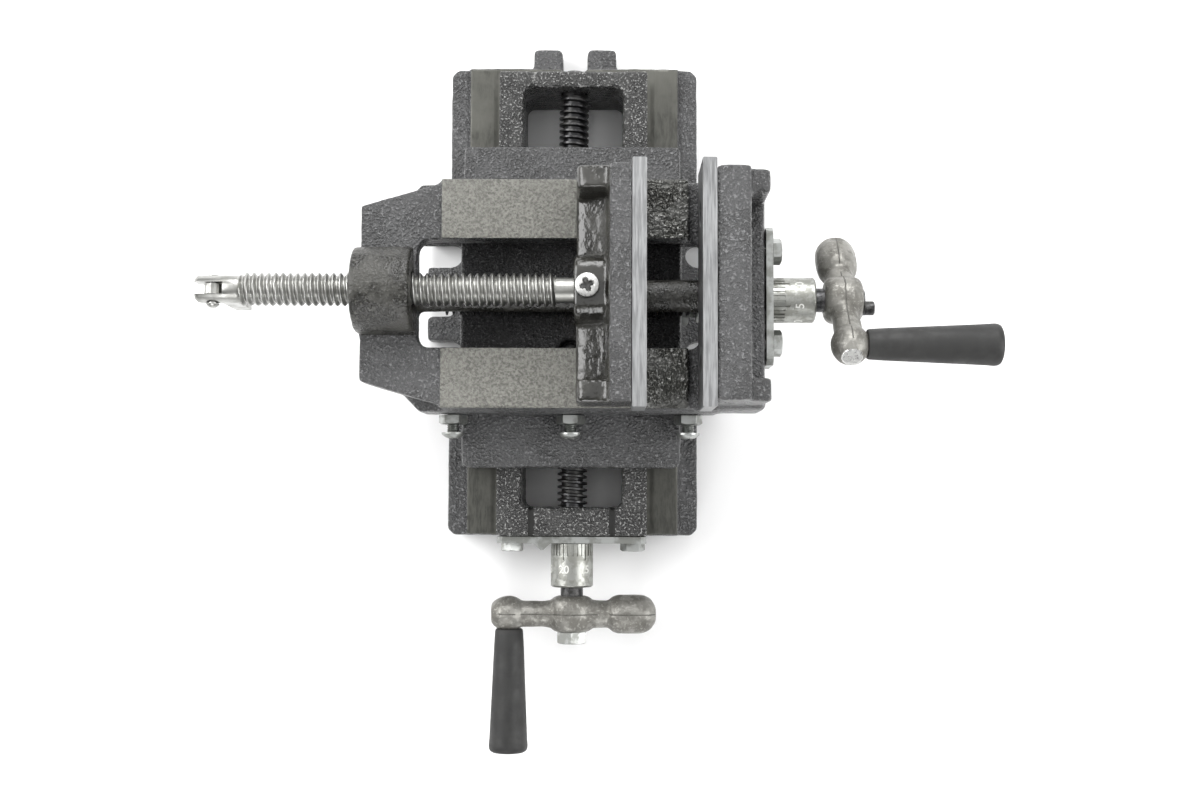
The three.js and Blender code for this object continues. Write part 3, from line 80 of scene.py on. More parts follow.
# Sizes of the pieces, in millimetres
CRANK_RADIUS = 29.0
BALL_RADIUS = 8.0
HUB_MIDDLE = 7.9
HUB_LENGTH = 15.8
GATE_X = -37.1  # where the casting gate is ground off the crank's arm
GRIP_STAND = 6.9
SPINDLE_HEAD_Z = 52.2
END_SCREW_GAP = 0.3
X_CRANK_LEAN = math.radians(47)
DIAL_RADIUS = 9.8
GRADUATION_DEPTH = 0.45
SHORT_GRADUATION, LONG_GRADUATION = 5.4, 7.4
FIGURE_SIZE, FIGURE_TOP = 5.2, 9.8
SCREW_CORE = 5.0
SCREW_JOURNAL = 5.2
JAW_SCREW_CORE = 5.52
JAW_SCREW_NECK = 5.3
LEVER_SLOT = 2.5  # half the width of the fork's slot
SMALL_SHANK = 2.7
PLATE_SCREW_HEAD = 5.2
SOCKET_RADIUS, SOCKET_DEPTH = 2.4, 2.0
PLATE_BOLT_HEAD = 3.8
GIB_HEAD = 2.8
GIB_THREAD_ROOT = 2.35
FLOOR_REACH = 3.0  # metres
FLOOR_Z = -0.6


# ---------------------------------------------------------------- settings a user would change

def length_property(name, default, lowest, highest, description):
    """A length given here in millimetres and shown in the scene's units."""
    return bpy.props.FloatProperty(
        name=name, default=default * MM, min=lowest * MM, max=highest * MM, subtype="DISTANCE",
        unit="LENGTH", description=description)


def colour_property(name, default, description):
    return bpy.props.FloatVectorProperty(
        name=name, size=4, subtype="COLOR", default=(*default, 1.0), min=0.0, max=1.0,
        description=description)


class ViseSizes(bpy.types.PropertyGroup):
    """Sizes of the finish work on the vise"""
    casting_edge: bpy.props.FloatProperty(
        name="Casting edge softness", default=1.0, min=0.0, max=4.0,
        description="How far the castings' edges are relaxed, which rounds them")
    casting_grain: length_property(
        "Casting grain", 0.16, 0.0, 1.0, "Depth of the sand-cast unevenness under the paint")
    screw_pitch: length_property(
        "Screw pitch", 3.0, 1.0, 6.0, "Pitch of the jaw screw and both feed screws")
    edge_break: length_property(
        "Edge break", 0.45, 0.05, 1.0, "Bevel on machined plates and small parts")
    dial_divisions: bpy.props.IntProperty(
        name="Dial divisions", default=30, min=10, max=100,
        description="Graduations round each dial collar")


class ViseColours(bpy.types.PropertyGroup):
    """Colours of the vise's finishes"""
    cast_paint: colour_property(
        "Casting paint", (0.036, 0.0362, 0.0368), "Charcoal paint on the castings")
    jaw_paint: colour_property(
        "Jaw paint", (0.013, 0.0125, 0.0105), "Glossier paint on the movable jaw and the nut boss")
    bare_iron: colour_property(
        "Bare iron", (0.105, 0.104, 0.094), "The body's machined rails")
    grip_plastic: colour_property(
        "Grip plastic", (0.008, 0.008, 0.0078), "Moulded crank grips")


# ---------------------------------------------------------------- shader node groups

def new_group(name, inputs, outputs):
    """A node group with named float or vector inputs and float outputs."""
    tree = bpy.data.node_groups.new(name, "ShaderNodeTree")
    for label, kind, value in inputs:
        socket = tree.interface.new_socket(name=label, in_out="INPUT", socket_type=kind)
        socket.default_value = value
    for label in outputs:
        tree.interface.new_socket(name=label, in_out="OUTPUT", socket_type="NodeSocketFloat")
    return tree, tree.nodes.new("NodeGroupInput"), tree.nodes.new("NodeGroupOutput")


def noise_node(tree, vector, scale, detail, roughness):
    node = tree.nodes.new("ShaderNodeTexNoise")
    node.inputs["Detail"].default_value = detail
    node.inputs["Roughness"].default_value = roughness
    tree.links.new(vector, node.inputs["Vector"])
    if isinstance(scale, float):
        node.inputs["Scale"].default_value = scale
    else:
        tree.links.new(scale, node.inputs["Scale"])
    return node.outputs["Fac"]


def ranged(tree, value, low, high, to_low=0.0, to_high=1.0):
    node = tree.nodes.new("ShaderNodeMapRange")
    node.interpolation_type = "SMOOTHSTEP"
    for label, number in (("From Min", low), ("From Max", high),
                          ("To Min", to_low), ("To Max", to_high)):
        node.inputs[label].default_value = number
    tree.links.new(value, node.inputs["Value"])
    return node.outputs["Result"]


def combined(tree, operation, a, b):
    node = tree.nodes.new("ShaderNodeMath")
    node.operation = operation
    for socket, value in zip(node.inputs, (a, b)):
        if isinstance(value, (int, float)):
            socket.default_value = value
        else:
            tree.links.new(value, socket)
    return node.outputs[0]


def product(tree, a, b):
    return combined(tree, "MULTIPLY", a, b)


VECTOR_INPUT = ("Vector", "NodeSocketVector", (0.0, 0.0, 0.0))


def make_cast_skin():
    """Orange-peel paint over sand-cast lumps: a height, and a mask of painted glints where the
    peel noise is high.
    """
    tree, given, made = new_group("Cast skin", [
        VECTOR_INPUT, ("Peel Scale", "NodeSocketFloat", 700.0),
        ("Lump Scale", "NodeSocketFloat", 160.0)], ["Height", "Glint Specks"])
    peel = noise_node(tree, given.outputs["Vector"], given.outputs["Peel Scale"], 2.0, 0.55)
    lumps = noise_node(tree, given.outputs["Vector"], given.outputs["Lump Scale"], 3.0, 0.6)
    height = combined(tree, "ADD", product(tree, lumps, 0.6), peel)
    # Painted highlights: a mask of bright glint flecks where the peel noise is high.
    glint_specks = ranged(tree, peel, 0.54, 0.7)
    tree.links.new(height, made.inputs["Height"])
    tree.links.new(glint_specks, made.inputs["Glint Specks"])
    return tree


def make_rubbed_edges():
    """Where handling has rubbed the corners, broken up by noise."""
    tree, given, made = new_group("Rubbed edges", [
        VECTOR_INPUT, ("Amount", "NodeSocketFloat", 0.5)], ["Mask"])
    geometry = tree.nodes.new("ShaderNodeNewGeometry")
    corner = ranged(tree, geometry.outputs["Pointiness"], 0.53, 0.6)
    cloud = noise_node(tree, given.outputs["Vector"], 420.0, 4.0, 0.65)
    worn = product(tree, corner, ranged(tree, cloud, 0.42, 0.62))
    mask = product(tree, worn, given.outputs["Amount"])
    tree.links.new(mask, made.inputs["Mask"])
    return tree


def make_grain():
    """Fine scratches from grinding, drawn out along one direction by the vector's scale."""
    tree, given, made = new_group("Ground grain", [
        VECTOR_INPUT, ("Scale", "NodeSocketFloat", 900.0)], ["Height", "Tone"])
    fine = noise_node(tree, given.outputs["Vector"], given.outputs["Scale"], 3.0, 0.7)
    tree.links.new(fine, made.inputs["Height"])
    tree.links.new(ranged(tree, fine, 0.36, 0.64), made.inputs["Tone"])
    return tree


def make_stains():
    """Soft blotches, such as uneven plating, oil and dust."""
    tree, given, made = new_group("Stains", [
        VECTOR_INPUT, ("Scale", "NodeSocketFloat", 90.0)], ["Mask"])
    cloud = noise_node(tree, given.outputs["Vector"], given.outputs["Scale"], 5.0, 0.62)
    tree.links.new(ranged(tree, cloud, 0.42, 0.6), made.inputs["Mask"])
    return tree


GROUPS = {}
FINISHES = {}


def placed_group(tree, name, vector, **values):
    node = tree.nodes.new("ShaderNodeGroup")
    node.node_tree = GROUPS[name]
    tree.links.new(vector, node.inputs["Vector"])
    for label, value in values.items():
        node.inputs[label.replace("_", " ")].default_value = value
    return node


def mixed_colour(tree, mask, first, second):
    node = tree.nodes.new("ShaderNodeMix")
    node.data_type = "RGBA"
    tree.links.new(mask, node.inputs["Factor"])
    for socket, colour in ((node.inputs[6], first), (node.inputs[7], second)):
        if isinstance(colour, tuple):
            socket.default_value = colour
        else:
            tree.links.new(colour, socket)
    return node.outputs[2]


def finish(name, colour, second, roughness, metallic, rub=0.0, rub_colour=(0.3, 0.3, 0.29, 1.0),
           stretch=(1, 1, 1), skin=None, grain=None, stain=90.0, blotch=1.0, bump=(0.3, 0.1),
           coat=0.0, glint_specks=None):
    """One procedural material. Roughness is a range, and skin the scales of its peel and
    lumps. Bump is its strength and its distance in millimetres."""
    material = bpy.data.materials.new(name)
    material.use_nodes = True
    tree = material.node_tree
    shader = tree.nodes["Principled BSDF"]
    place = tree.nodes.new("ShaderNodeTexCoord").outputs["Object"]
    mapping = tree.nodes.new("ShaderNodeMapping")
    mapping.inputs["Scale"].default_value = stretch
    tree.links.new(place, mapping.inputs["Vector"])
    drawn = mapping.outputs["Vector"]
    stains = placed_group(tree, "Stains", place, Scale=stain).outputs["Mask"]
    shade = mixed_colour(tree, product(tree, stains, blotch), colour, second)
    height = None
    tone = stains
    if skin:
        node = placed_group(tree, "Cast skin", drawn, Peel_Scale=skin[0], Lump_Scale=skin[1])
        height = node.outputs["Height"]
        # Painted highlights: the glint colour is mixed in as light flecks where the peel is high.
        if glint_specks:
            faded_glints = product(tree, node.outputs["Glint Specks"], 0.7)
            shade = mixed_colour(tree, faded_glints, shade, glint_specks)
    if grain:
        node = placed_group(tree, "Ground grain", drawn, Scale=grain)
        tone = node.outputs["Tone"]
        height = node.outputs["Height"]
        soft = product(tree, tone, 0.8)
        shade = mixed_colour(tree, soft, shade, second)
    if rub:
        worn = placed_group(tree, "Rubbed edges", place, Amount=rub).outputs["Mask"]
        shade = mixed_colour(tree, worn, shade, rub_colour)
        if metallic < 0.5:
            tree.links.new(worn, shader.inputs["Metallic"])
    tree.links.new(shade, shader.inputs["Base Color"])
    tree.links.new(ranged(tree, tone, 0.0, 1.0, *roughness), shader.inputs["Roughness"])
    if metallic >= 0.5 or not rub:
        shader.inputs["Metallic"].default_value = metallic
    shader.inputs["Coat Weight"].default_value = coat
    shader.inputs["Coat Roughness"].default_value = 0.25
    surface = tree.nodes.new("ShaderNodeBump")
    surface.inputs["Strength"].default_value = bump[0]
    surface.inputs["Distance"].default_value = bump[1] * MM
    tree.links.new(height if height else stains, surface.inputs["Height"])
    tree.links.new(surface.outputs["Normal"], shader.inputs["Normal"])
    FINISHES[name] = material


def make_finishes(colours):
    GROUPS["Cast skin"] = make_cast_skin()
    GROUPS["Rubbed edges"] = make_rubbed_edges()
    GROUPS["Ground grain"] = make_grain()
    GROUPS["Stains"] = make_stains()
    paint, jaw, iron, plastic = (tuple(c) for c in (
        colours.cast_paint, colours.jaw_paint, colours.bare_iron, colours.grip_plastic))
    # Each glint colour below is a painted highlight: light flecks that stand in for glints off the
    # paint's peel.
    finish("Cast paint", paint, (0.055, 0.0553, 0.0565, 1), (0.22, 0.34), 0.0, rub=0.6,
           skin=(900.0, 260.0), bump=(1.0, 1.1), stain=55.0, glint_specks=(0.2, 0.201, 0.205, 1))
    finish("Rough cast", (0.024, 0.024, 0.0235, 1), (0.04, 0.04, 0.039, 1), (0.16, 0.3), 0.0,
           rub=0.6, skin=(1050.0, 300.0), bump=(1.0, 1.5), stain=70.0, glint_specks=(0.5, 0.5, 0.49, 1))
    finish("Boss paint", jaw, (0.04, 0.039, 0.034, 1), (0.24, 0.4), 0.0, rub=0.4,
           skin=(900.0, 200.0), bump=(0.7, 0.7), stain=80.0, glint_specks=(0.09, 0.089, 0.08, 1))
    # Painted shade: a near-black finish for the front bridge's grooves.
    finish("Painted groove shade", (0.005, 0.005, 0.0045, 1), (0.009, 0.009, 0.008, 1), (0.7, 0.8), 0.0,
           stain=200.0)
    finish("Jaw paint", jaw, (0.03, 0.029, 0.025, 1), (0.14, 0.24), 0.0, rub=0.4,
           skin=(260.0, 90.0), bump=(0.6, 1.1), stain=70.0, coat=0.5)
    finish("Ground iron", iron, (0.27, 0.268, 0.245, 1), (0.34, 0.5), 0.8, grain=1000.0,
           bump=(1.0, 0.8), stain=30.0, blotch=0.1)
    # A darker finish for the rails between the jaws, with painted glint flecks.
    finish("Dark rail iron", (0.04, 0.04, 0.036, 1), (0.1, 0.1, 0.095, 1), (0.14, 0.4), 0.7,
           skin=(520.0, 150.0), bump=(1.0, 1.6), stain=80.0, glint_specks=(0.3, 0.3, 0.29, 1))
    finish("Dull ways", (0.05, 0.05, 0.044, 1), (0.1, 0.1, 0.088, 1), (0.4, 0.6), 0.5,
           grain=700.0, stretch=(1, 0.2, 1), bump=(0.5, 0.15), stain=30.0)
    finish("Jaw plate steel", (0.25, 0.253, 0.256, 1), (0.42, 0.425, 0.43, 1), (0.3, 0.45), 1.0,
           grain=1300.0, stretch=(1, 0.05, 1), bump=(0.6, 0.2), stain=50.0, blotch=0.3)
    finish("Bright screw", (0.4, 0.4, 0.385, 1), (0.3, 0.3, 0.285, 1), (0.34, 0.42), 1.0,
           stain=160.0, bump=(0.1, 0.03))
    finish("Zinc plate", (0.38, 0.39, 0.38, 1), (0.24, 0.245, 0.23, 1), (0.3, 0.48), 1.0,
           stain=140.0, bump=(0.25, 0.08))
    finish("Zinc collar", (0.34, 0.345, 0.325, 1), (0.26, 0.262, 0.24, 1), (0.34, 0.5), 1.0,
           stain=260.0, bump=(0.35, 0.12))
    finish("Stamped figures", (0.72, 0.72, 0.69, 1), (0.6, 0.6, 0.57, 1), (0.5, 0.6), 0.4)
    finish("Black oxide", (0.022, 0.022, 0.024, 1), (0.045, 0.044, 0.042, 1), (0.3, 0.48), 0.6,
           rub=0.5, rub_colour=(0.2, 0.2, 0.2, 1), stain=150.0)
    finish("Cast zinc", (0.25, 0.245, 0.225, 1), (0.15, 0.145, 0.13, 1), (0.4, 0.54), 0.55,
           skin=(800.0, 150.0), bump=(0.5, 0.4), stain=130.0, glint_specks=(0.34, 0.335, 0.31, 1))
    finish("Seam shade", (0.07, 0.068, 0.06, 1), (0.12, 0.116, 0.105, 1), (0.5, 0.7), 0.3,
           stain=300.0)
    finish("Ground gate", (0.75, 0.75, 0.74, 1), (0.55, 0.55, 0.53, 1), (0.25, 0.4), 1.0,
           grain=900.0, stretch=(1, 0.2, 1), bump=(0.5, 0.2))
    finish("Bronze", (0.36, 0.25, 0.11, 1), (0.28, 0.19, 0.08, 1), (0.35, 0.5), 1.0, grain=900.0)
    finish("Grip plastic", plastic, (0.018, 0.0178, 0.017, 1), (0.52, 0.66), 0.0, grain=260.0,
           stretch=(0.35, 0.35, 0.35), bump=(0.2, 0.15), stain=60.0)


# ---------------------------------------------------------------- mesh helpers, in millimetres

def cad_box(node):
    low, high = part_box(node)
    return np.array(low) / MM, np.array(high) / MM


def in_scene(name, data):
    thing = bpy.data.objects.new(name, data)
    bpy.context.scene.collection.objects.link(thing)
    return thing


def worked_out(worker):
    """The worker's mesh with its modifiers applied. The worker is then removed."""
    depsgraph = bpy.context.evaluated_depsgraph_get()
    mesh = bpy.data.meshes.new_from_object(worker.evaluated_get(depsgraph))
    bpy.data.objects.remove(worker)
    return mesh


def bevelled(worker, width, segments, sharper_than):
    """Adds a bevel on every edge sharper than an angle in degrees."""
    change = worker.modifiers.new("edges", "BEVEL")
    change.width = width
    change.segments = segments
    change.limit_method = "ANGLE"
    change.angle_limit = math.radians(sharper_than)


def put(mesh, place):
    """Moves a mesh that is already in metres by a place given in millimetres."""
    mesh.transform(Matrix.Scale(MM, 4) @ place @ Matrix.Scale(1 / MM, 4))


def settle(name, mesh, body, nodes, finishes, sharp=35.0):
    """Makes the piece's object, parents it to the body it rides on, and hides the CAD nodes it
    stands for.
    """
    piece = in_scene(name, mesh)
    for label in finishes:
        mesh.materials.append(FINISHES[label])
    mesh.polygons.foreach_set("use_smooth", [True] * len(mesh.polygons))
    mesh.set_sharp_from_angle(angle=math.radians(sharp))
    mesh.update()
    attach(piece, body)
    if nodes:
        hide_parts(*nodes)
    return piece


def mesh_of(name, shells, matrix=None, marks=None):
    """One mesh from closed shells of (points, faces) in millimetres. Marks give each shell's
    place in the piece's list of finishes."""
    points, faces, numbers = [], [], []
    for index, (shell_points, shell_faces) in enumerate(shells):
        start = len(points)
        points.extend(shell_points)
        faces.extend([tuple(start + v for v in face) for face in shell_faces])
        numbers.extend([marks[index] if marks else 0] * len(shell_faces))
    mesh = bpy.data.meshes.new(name)
    mesh.from_pydata([tuple(p) for p in points], [], faces)
    mesh.polygons.foreach_set("material_index", numbers)
    work = bmesh.new()
    work.from_mesh(mesh)
    bmesh.ops.remove_doubles(work, verts=work.verts, dist=0.002)
    bmesh.ops.dissolve_degenerate(work, edges=work.edges, dist=0.001)
    bmesh.ops.recalc_face_normals(work, faces=work.faces)
    work.to_mesh(mesh)
    work.free()
    mesh.transform((Matrix.Scale(MM, 4) @ matrix) if matrix else Matrix.Scale(MM, 4))
    return mesh


def frame_at(origin, x, y, z, turn=0.0):
    """Local X, Y and Z along the directions given, in millimetres, turned about local Z first."""
    axes = Matrix((x, y, z)).transposed().to_4x4()
    return Matrix.Translation(origin) @ axes @ Matrix.Rotation(turn, 4, "Z")


def facing_front(x, y, z, turn=0.0):
    return frame_at((x, y, z), (1, 0, 0), (0, 0, 1), (0, -1, 0), turn)


def facing_right(x, y, z, turn=0.0):
    return frame_at((x, y, z), (0, 0, -1), (0, 1, 0), (1, 0, 0), turn)


def facing_back(x, y, z):
    return frame_at((x, y, z), (1, 0, 0), (0, 0, -1), (0, 1, 0))


def facing_up(x, y, z):
    return frame_at((x, y, z), (1, 0, 0), (0, 1, 0), (0, 0, 1))


def skinned(rings):
    """Quads between rings of equal length, with one flat face at each end."""
    count = len(rings[0])
    points = [p for ring in rings for p in ring]
    faces = []
    for row in range(len(rings) - 1):
        for i in range(count):
            j = (i + 1) % count
            a, b = row * count, (row + 1) * count
            faces.append((a + i, a + j, b + j, b + i))
    faces.append(tuple(range(count))[::-1])
    faces.append(tuple(range((len(rings) - 1) * count, len(rings) * count)))
    return points, faces


def moved(shell, x, y, z):
    points, faces = shell
    return [(a + x, b + y, c + z) for a, b, c in points], faces


def turned(profile, segments=64):
    """A closed shell turned about local Z from [radius, height] pairs, ends capped flat."""
    rings = [[(r * math.cos(t), r * math.sin(t), z)
              for t in (FULL_TURN * i / segments for i in range(segments))] for r, z in profile]
    return skinned(rings)


def relief(outline, top, foot, segments=96, rows=18):
    """A head whose rim is outline(angle) and whose top is top(x, y), down to z = foot."""
    angles = [FULL_TURN * i / segments for i in range(segments)]
    rings = [[(outline(t) * math.cos(t), outline(t) * math.sin(t), foot) for t in angles]]
    for row in range(rows):
        share = 1 - row / rows
        ring = []
        for t in angles:
            x, y = outline(t) * share * math.cos(t), outline(t) * share * math.sin(t)
            ring.append((x, y, top(x, y)))
        rings.append(ring)
    return skinned(rings)


def hexagon_rim(across):
    def rim(t):
        return across / 2 / math.cos((t % (math.pi / 3)) - math.pi / 6)
    return rim


def chamfered(height, flat_radius, slope):
    """A flat top that falls away outside a radius."""
    return lambda x, y: height - max(0.0, math.hypot(x, y) - flat_radius) * slope


def hex_head(across, height):
    """A bolt head with its chamfered corners."""
    return relief(hexagon_rim(across), chamfered(height, across * 0.46, 0.62), 0.0, 96, 12)


def pan_head(diameter, height, cross=0.0, crown=0.55):
    """A domed head. It has a cross recess when cross, the length of its arms, is given."""
    rim = diameter / 2
    slot = diameter * 0.075
    outer = slot * 1.6

    def top(x, y):
        r = math.hypot(x, y) / rim
        dome = height * (1 - crown * r ** 2.6)
        if cross:
            for u, v in ((abs(x), abs(y)), (abs(y), abs(x))):
                if u < cross and v < outer:
                    side = min(1.0, max(0.0, (outer - v) / (slot * 0.7)))
                    end = min(1.0, max(0.0, (cross - u) / (cross * 0.35)))
                    dome = min(dome, height * (1 - 0.62 * side * end) - 0.1)
        return dome
    return relief(lambda t: rim, top, 0.0, 96, 26)


def cross_floor(arm, half, low, high):
    """A plus-shaped block that stands in the bottom of a cross recess; its dark finish is painted
    shade in the recess.
    """
    corner = [(arm, -half), (arm, half), (half, half),
              (half, arm), (-half, arm), (-half, half)]
    outline = corner + [(-x, -y) for x, y in corner]
    return skinned([[(x, y, z) for x, y in outline] for z in (low, high)])


def threaded(start, end, pitch, profile, root, right_hand=True, left=(), right=(), segments=36):
    """A screw along local Z. Profile is (share of pitch, radius) pairs for one ridge, and left
    and right are the (radius, height) pairs of its plain ends."""
    count = len(profile)
    turns = int((end - start) / pitch) + 4
    columns = []
    for i in range(segments):
        lead = i / segments if right_hand else 1 - i / segments
        column = []
        for k in range(turns * count):
            share, radius = profile[k % count]
            z = start - 2 * pitch + pitch * (k // count + share + lead)
            if z <= start or z >= end:
                radius, z = root, min(max(z, start), end)
            column.append((radius, z))
        columns.append([*left, (root, start), *column, (root, end), *right])
    points = []
    for i, column in enumerate(columns):
        t = FULL_TURN * i / segments
        points.extend((r * math.cos(t), r * math.sin(t), z) for r, z in column)
    length = len(columns[0])
    first, last = len(left) + 1, len(left) + turns * count
    faces = []
    for i in range(segments):
        seam = i == segments - 1
        lag = (count if right_hand else -count) if seam else 0
        j = (i + 1) % segments
        for k in range(length - 1):
            inside = first <= k < last
            m = k + lag if inside else k
            if inside and not (first <= m and m + 1 <= last):
                continue
            faces.append((i * length + k, j * length + m, j * length + m + 1, i * length + k + 1))
    faces.append(tuple(i * length for i in range(segments))[::-1])
    faces.append(tuple(i * length + length - 1 for i in range(segments)))
    return points, faces


AXIS_PRIMES = (73856093, 19349663, 83492791)


def value_noise(points, size, seed):
    """Smooth noise from -1 to 1 at points, one lump about every size millimetres."""
    cell = np.floor(points / size).astype(np.int64)
    part = points / size - cell
    ease = part * part * (3 - 2 * part)
    total = np.zeros(len(points))
    for corner in range(8):
        bits = np.array([corner & 1, (corner >> 1) & 1, corner >> 2])
        weight = np.prod(np.where(bits, ease, 1 - ease), axis=1)
        at = cell + bits
        mix = seed * 2654435
        for axis, prime in enumerate(AXIS_PRIMES):
            mix = mix ^ (at[:, axis] * prime)
        mix = (mix ^ (mix >> 13)) * 1274126177
        total += weight * (((mix ^ (mix >> 16)) & 0xFFFF) / 32767.5 - 1)
    return total


def mesh_points(mesh):
    flat = np.empty(len(mesh.vertices) * 3)
    mesh.vertices.foreach_get("co", flat)
    return flat.reshape(-1, 3) / MM


def set_mesh_points(mesh, points):
    mesh.vertices.foreach_set("co", (points * MM).ravel())
    mesh.update()


def point_normals(mesh):
    flat = np.empty(len(mesh.vertices) * 3)
    mesh.vertex_normals.foreach_get("vector", flat)
    return flat.reshape(-1, 3)


def face_vectors(mesh, name):
    """The centre or the normal of every face, one row each."""
    flat = np.empty(len(mesh.polygons) * 3)
    mesh.polygons.foreach_get(name, flat)
    return flat.reshape(-1, 3)


def relax(mesh, points, passes, weight):
    """Moves each point towards its neighbours, as much as its weight says."""
    flat = np.empty(len(mesh.edges) * 2, dtype=np.int64)
    mesh.edges.foreach_get("vertices", flat)
    ends = flat.reshape(-1, 2)
    count = np.bincount(ends.ravel(), minlength=len(points))
    for _ in range(passes):
        total = np.zeros_like(points)
        for axis in range(3):
            total[:, axis] = (
                np.bincount(ends[:, 0], points[ends[:, 1], axis], len(points))
                + np.bincount(ends[:, 1], points[ends[:, 0], axis], len(points)))
        points = points + (total / count[:, None] - points) * (0.5 * weight)[:, None]
    return points


def remeshed(mesh, voxel):
    """Merges overlapping closed shells into one even skin."""
    worker = in_scene("worker", mesh)
    change = worker.modifiers.new("skin", "REMESH")
    change.mode = "VOXEL"
    change.voxel_size = voxel * MM
    return worked_out(worker)


ROUGH, TRUE, RUNNING = 0.0, 1.0, 2.0  # the kinds of surface that machined() tells apart
RUNNING_GAP = 0.4  # how far a surface that another piece runs along is set back, in millimetres


def casting(node, name, body, voxel, passes, sizes, machined, labels, number_of, seed):
    """A cast piece from its CAD node: rounded and uneven, but true where it is machined.
    number_of gives each face's place in the list of labels."""
    low, high = cad_box(node)
    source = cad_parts[node].data.copy()
    source.materials.clear()
    mesh = remeshed(source, voxel)
    mesh.name = name
    points = mesh_points(mesh)
    normals = point_normals(mesh)
    kind = machined(points, normals)
    rough = 1 - np.minimum(kind, TRUE)
    points = relax(mesh, points, round(passes * sizes.casting_edge), rough)
    set_mesh_points(mesh, points)
    normals = point_normals(mesh)
    depth = sizes.casting_grain / MM
    bumps = value_noise(points, 2.3, seed) * 0.55 + value_noise(points, 5.5, seed + 1) * 0.9
    sink = depth * np.minimum(bumps - 1.1, 0.0) * rough - RUNNING_GAP * (kind == RUNNING)
    points = np.clip(points + normals * sink[:, None], low, high)
    set_mesh_points(mesh, points)
    numbers = number_of(face_vectors(mesh, "center") / MM, face_vectors(mesh, "normal"))
    mesh.polygons.foreach_set("material_index", numbers.astype(np.int32))
    return settle(name, mesh, body, [node], labels, sharp=60.0)


def softened(node, name, body, label, sizes, width=None):
    """A machined piece from its CAD node, with every sharp edge broken."""
    worker = in_scene("worker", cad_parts[node].data.copy())
    worker.data.materials.clear()
    bevelled(worker, width if width else sizes.edge_break, 3, 40)
    mesh = worked_out(worker)
    mesh.name = name
    low, high = cad_box(node)
    set_mesh_points(mesh, np.clip(mesh_points(mesh), low, high))
    return settle(name, mesh, body, [node], [label])


# ---------------------------------------------------------------- pieces

X, Y, Z = 0, 1, 2


def near(values, target, reach):
    return np.abs(values - target) < reach


def facing(normals, axis, sign):
    """Where a surface faces along one axis, within about 37 degrees."""
    return normals[:, axis] * sign > 0.8


def in_groove(points):
    """The two narrow grooves across the front bridge."""
    x, y, z = np.abs(points[:, X]), points[:, Y], points[:, Z]
    return near(x, 18.6, 1.3) & (y < -96.8) & (z > 38.2)


class VISE_OT_base(bpy.types.Operator):
    """Builds the base and saddle castings"""
    bl_idname = "vise.base"
    bl_label = "Base and Saddle"

    def execute(self, context):
        sizes = context.scene.vise_sizes

        def ways(points, normals):
            x, z = np.abs(points[:, X]), points[:, Z]
            flat = near(z, WAY_TOP, 0.4) & facing(normals, Z, 1) & (x < WAY_EDGE)
            under = near(z, 0.0, 0.4) & facing(normals, Z, -1)
            flank = (z > WAY_TOP - 0.5) & (z < DOVETAIL_TOP) & near(x, FLANK_X, FLANK_REACH)
            kind = np.where(flat | under | in_groove(points), TRUE, ROUGH)
            return np.where(flank, RUNNING, kind)

        def base_numbers(centres, normals):
            x, z = np.abs(centres[:, X]), centres[:, Z]
            strip = near(z, WAY_TOP, 0.6) & facing(normals, Z, 1)
            under = near(z, 0.0, 0.5) & facing(normals, Z, -1)
            bridge = (x < 38.0) & (z > WAY_TOP + 0.6)
            number = np.where(strip | under, 1, np.where(bridge, 2, 0))
            # Faces in the grooves take the near-black finish, which is painted shade in the
            # grooves.
            return np.where(in_groove(centres), 3, number)

        casting("base", "base_casting", "base", 0.95, 5, sizes, ways,
                ["Cast paint", "Dull ways", "Rough cast", "Painted groove shade"], base_numbers, seed=11)

        def seats(points, normals):
            x, z = np.abs(points[:, X]), points[:, Z]
            hollow = (z < 43.5) & (x < 44.0)
            sole = near(z, SADDLE_SOLE, 0.4) & facing(normals, Z, -1)
            return np.where(hollow, RUNNING, np.where(sole, TRUE, ROUGH))

        def saddle_numbers(centres, normals):
            sole = near(centres[:, Z], SADDLE_SOLE, 0.5) & facing(normals, Z, -1)
            return np.where(sole, 1, 0)

        casting("saddle", "saddle_casting", "saddle", 0.95, 5, sizes, seats,
                ["Cast paint", "Dull ways"], saddle_numbers, seed=23)
        return {"FINISHED"}


class VISE_OT_body(bpy.types.Operator):
    """Builds the vise body casting with its ground rails and fixed jaw"""
    bl_idname = "vise.body"
    bl_label = "Vise Body"

    def execute(self, context):
        sizes = context.scene.vise_sizes

        def rails(points, normals):
            x, z = points[:, X], points[:, Z]
            top = near(z, RAIL_TOP, 0.45) & (x > RAIL_LEFT) & (x < RAIL_RIGHT)
            jaw_face = near(x, FIXED_JAW_FACE, 0.4) & (z > 95)
            return np.where(top | jaw_face, TRUE, ROUGH)

        def numbers(centres, normals):
            x, z = centres[:, X], centres[:, Z]
            off_line = np.abs(centres[:, Y] - LINE_Y)
            along = (x > RAIL_LEFT) & (x < RAIL_RIGHT)
            rail = near(z, RAIL_TOP, 0.5) & facing(normals, Z, 1) & along
            jaw_face = near(x, FIXED_JAW_FACE, 0.6) & facing(normals, X, -1) & (z > 96)
            boss = (x < -63.5) & (off_line < 18.4) & ((z > 98) | (x < -89))
            cover = (off_line < 7.6) & (z > 86) & (x > -65) & (x < 57)
            number = np.where(rail, 1, np.where(jaw_face, 2, np.where(boss | cover, 3, 0)))
            # Rail faces towards the fixed jaw take the darker finish with painted glint flecks.
            return np.where(rail & (x > DARK_RAIL_FROM), 4, number)

        casting("vise_body", "body_casting", "vise_body", 0.85, 6, sizes, rails,
                ["Cast paint", "Ground iron", "Dull ways", "Boss paint", "Dark rail iron"], numbers,
                seed=37)
        return {"FINISHED"}


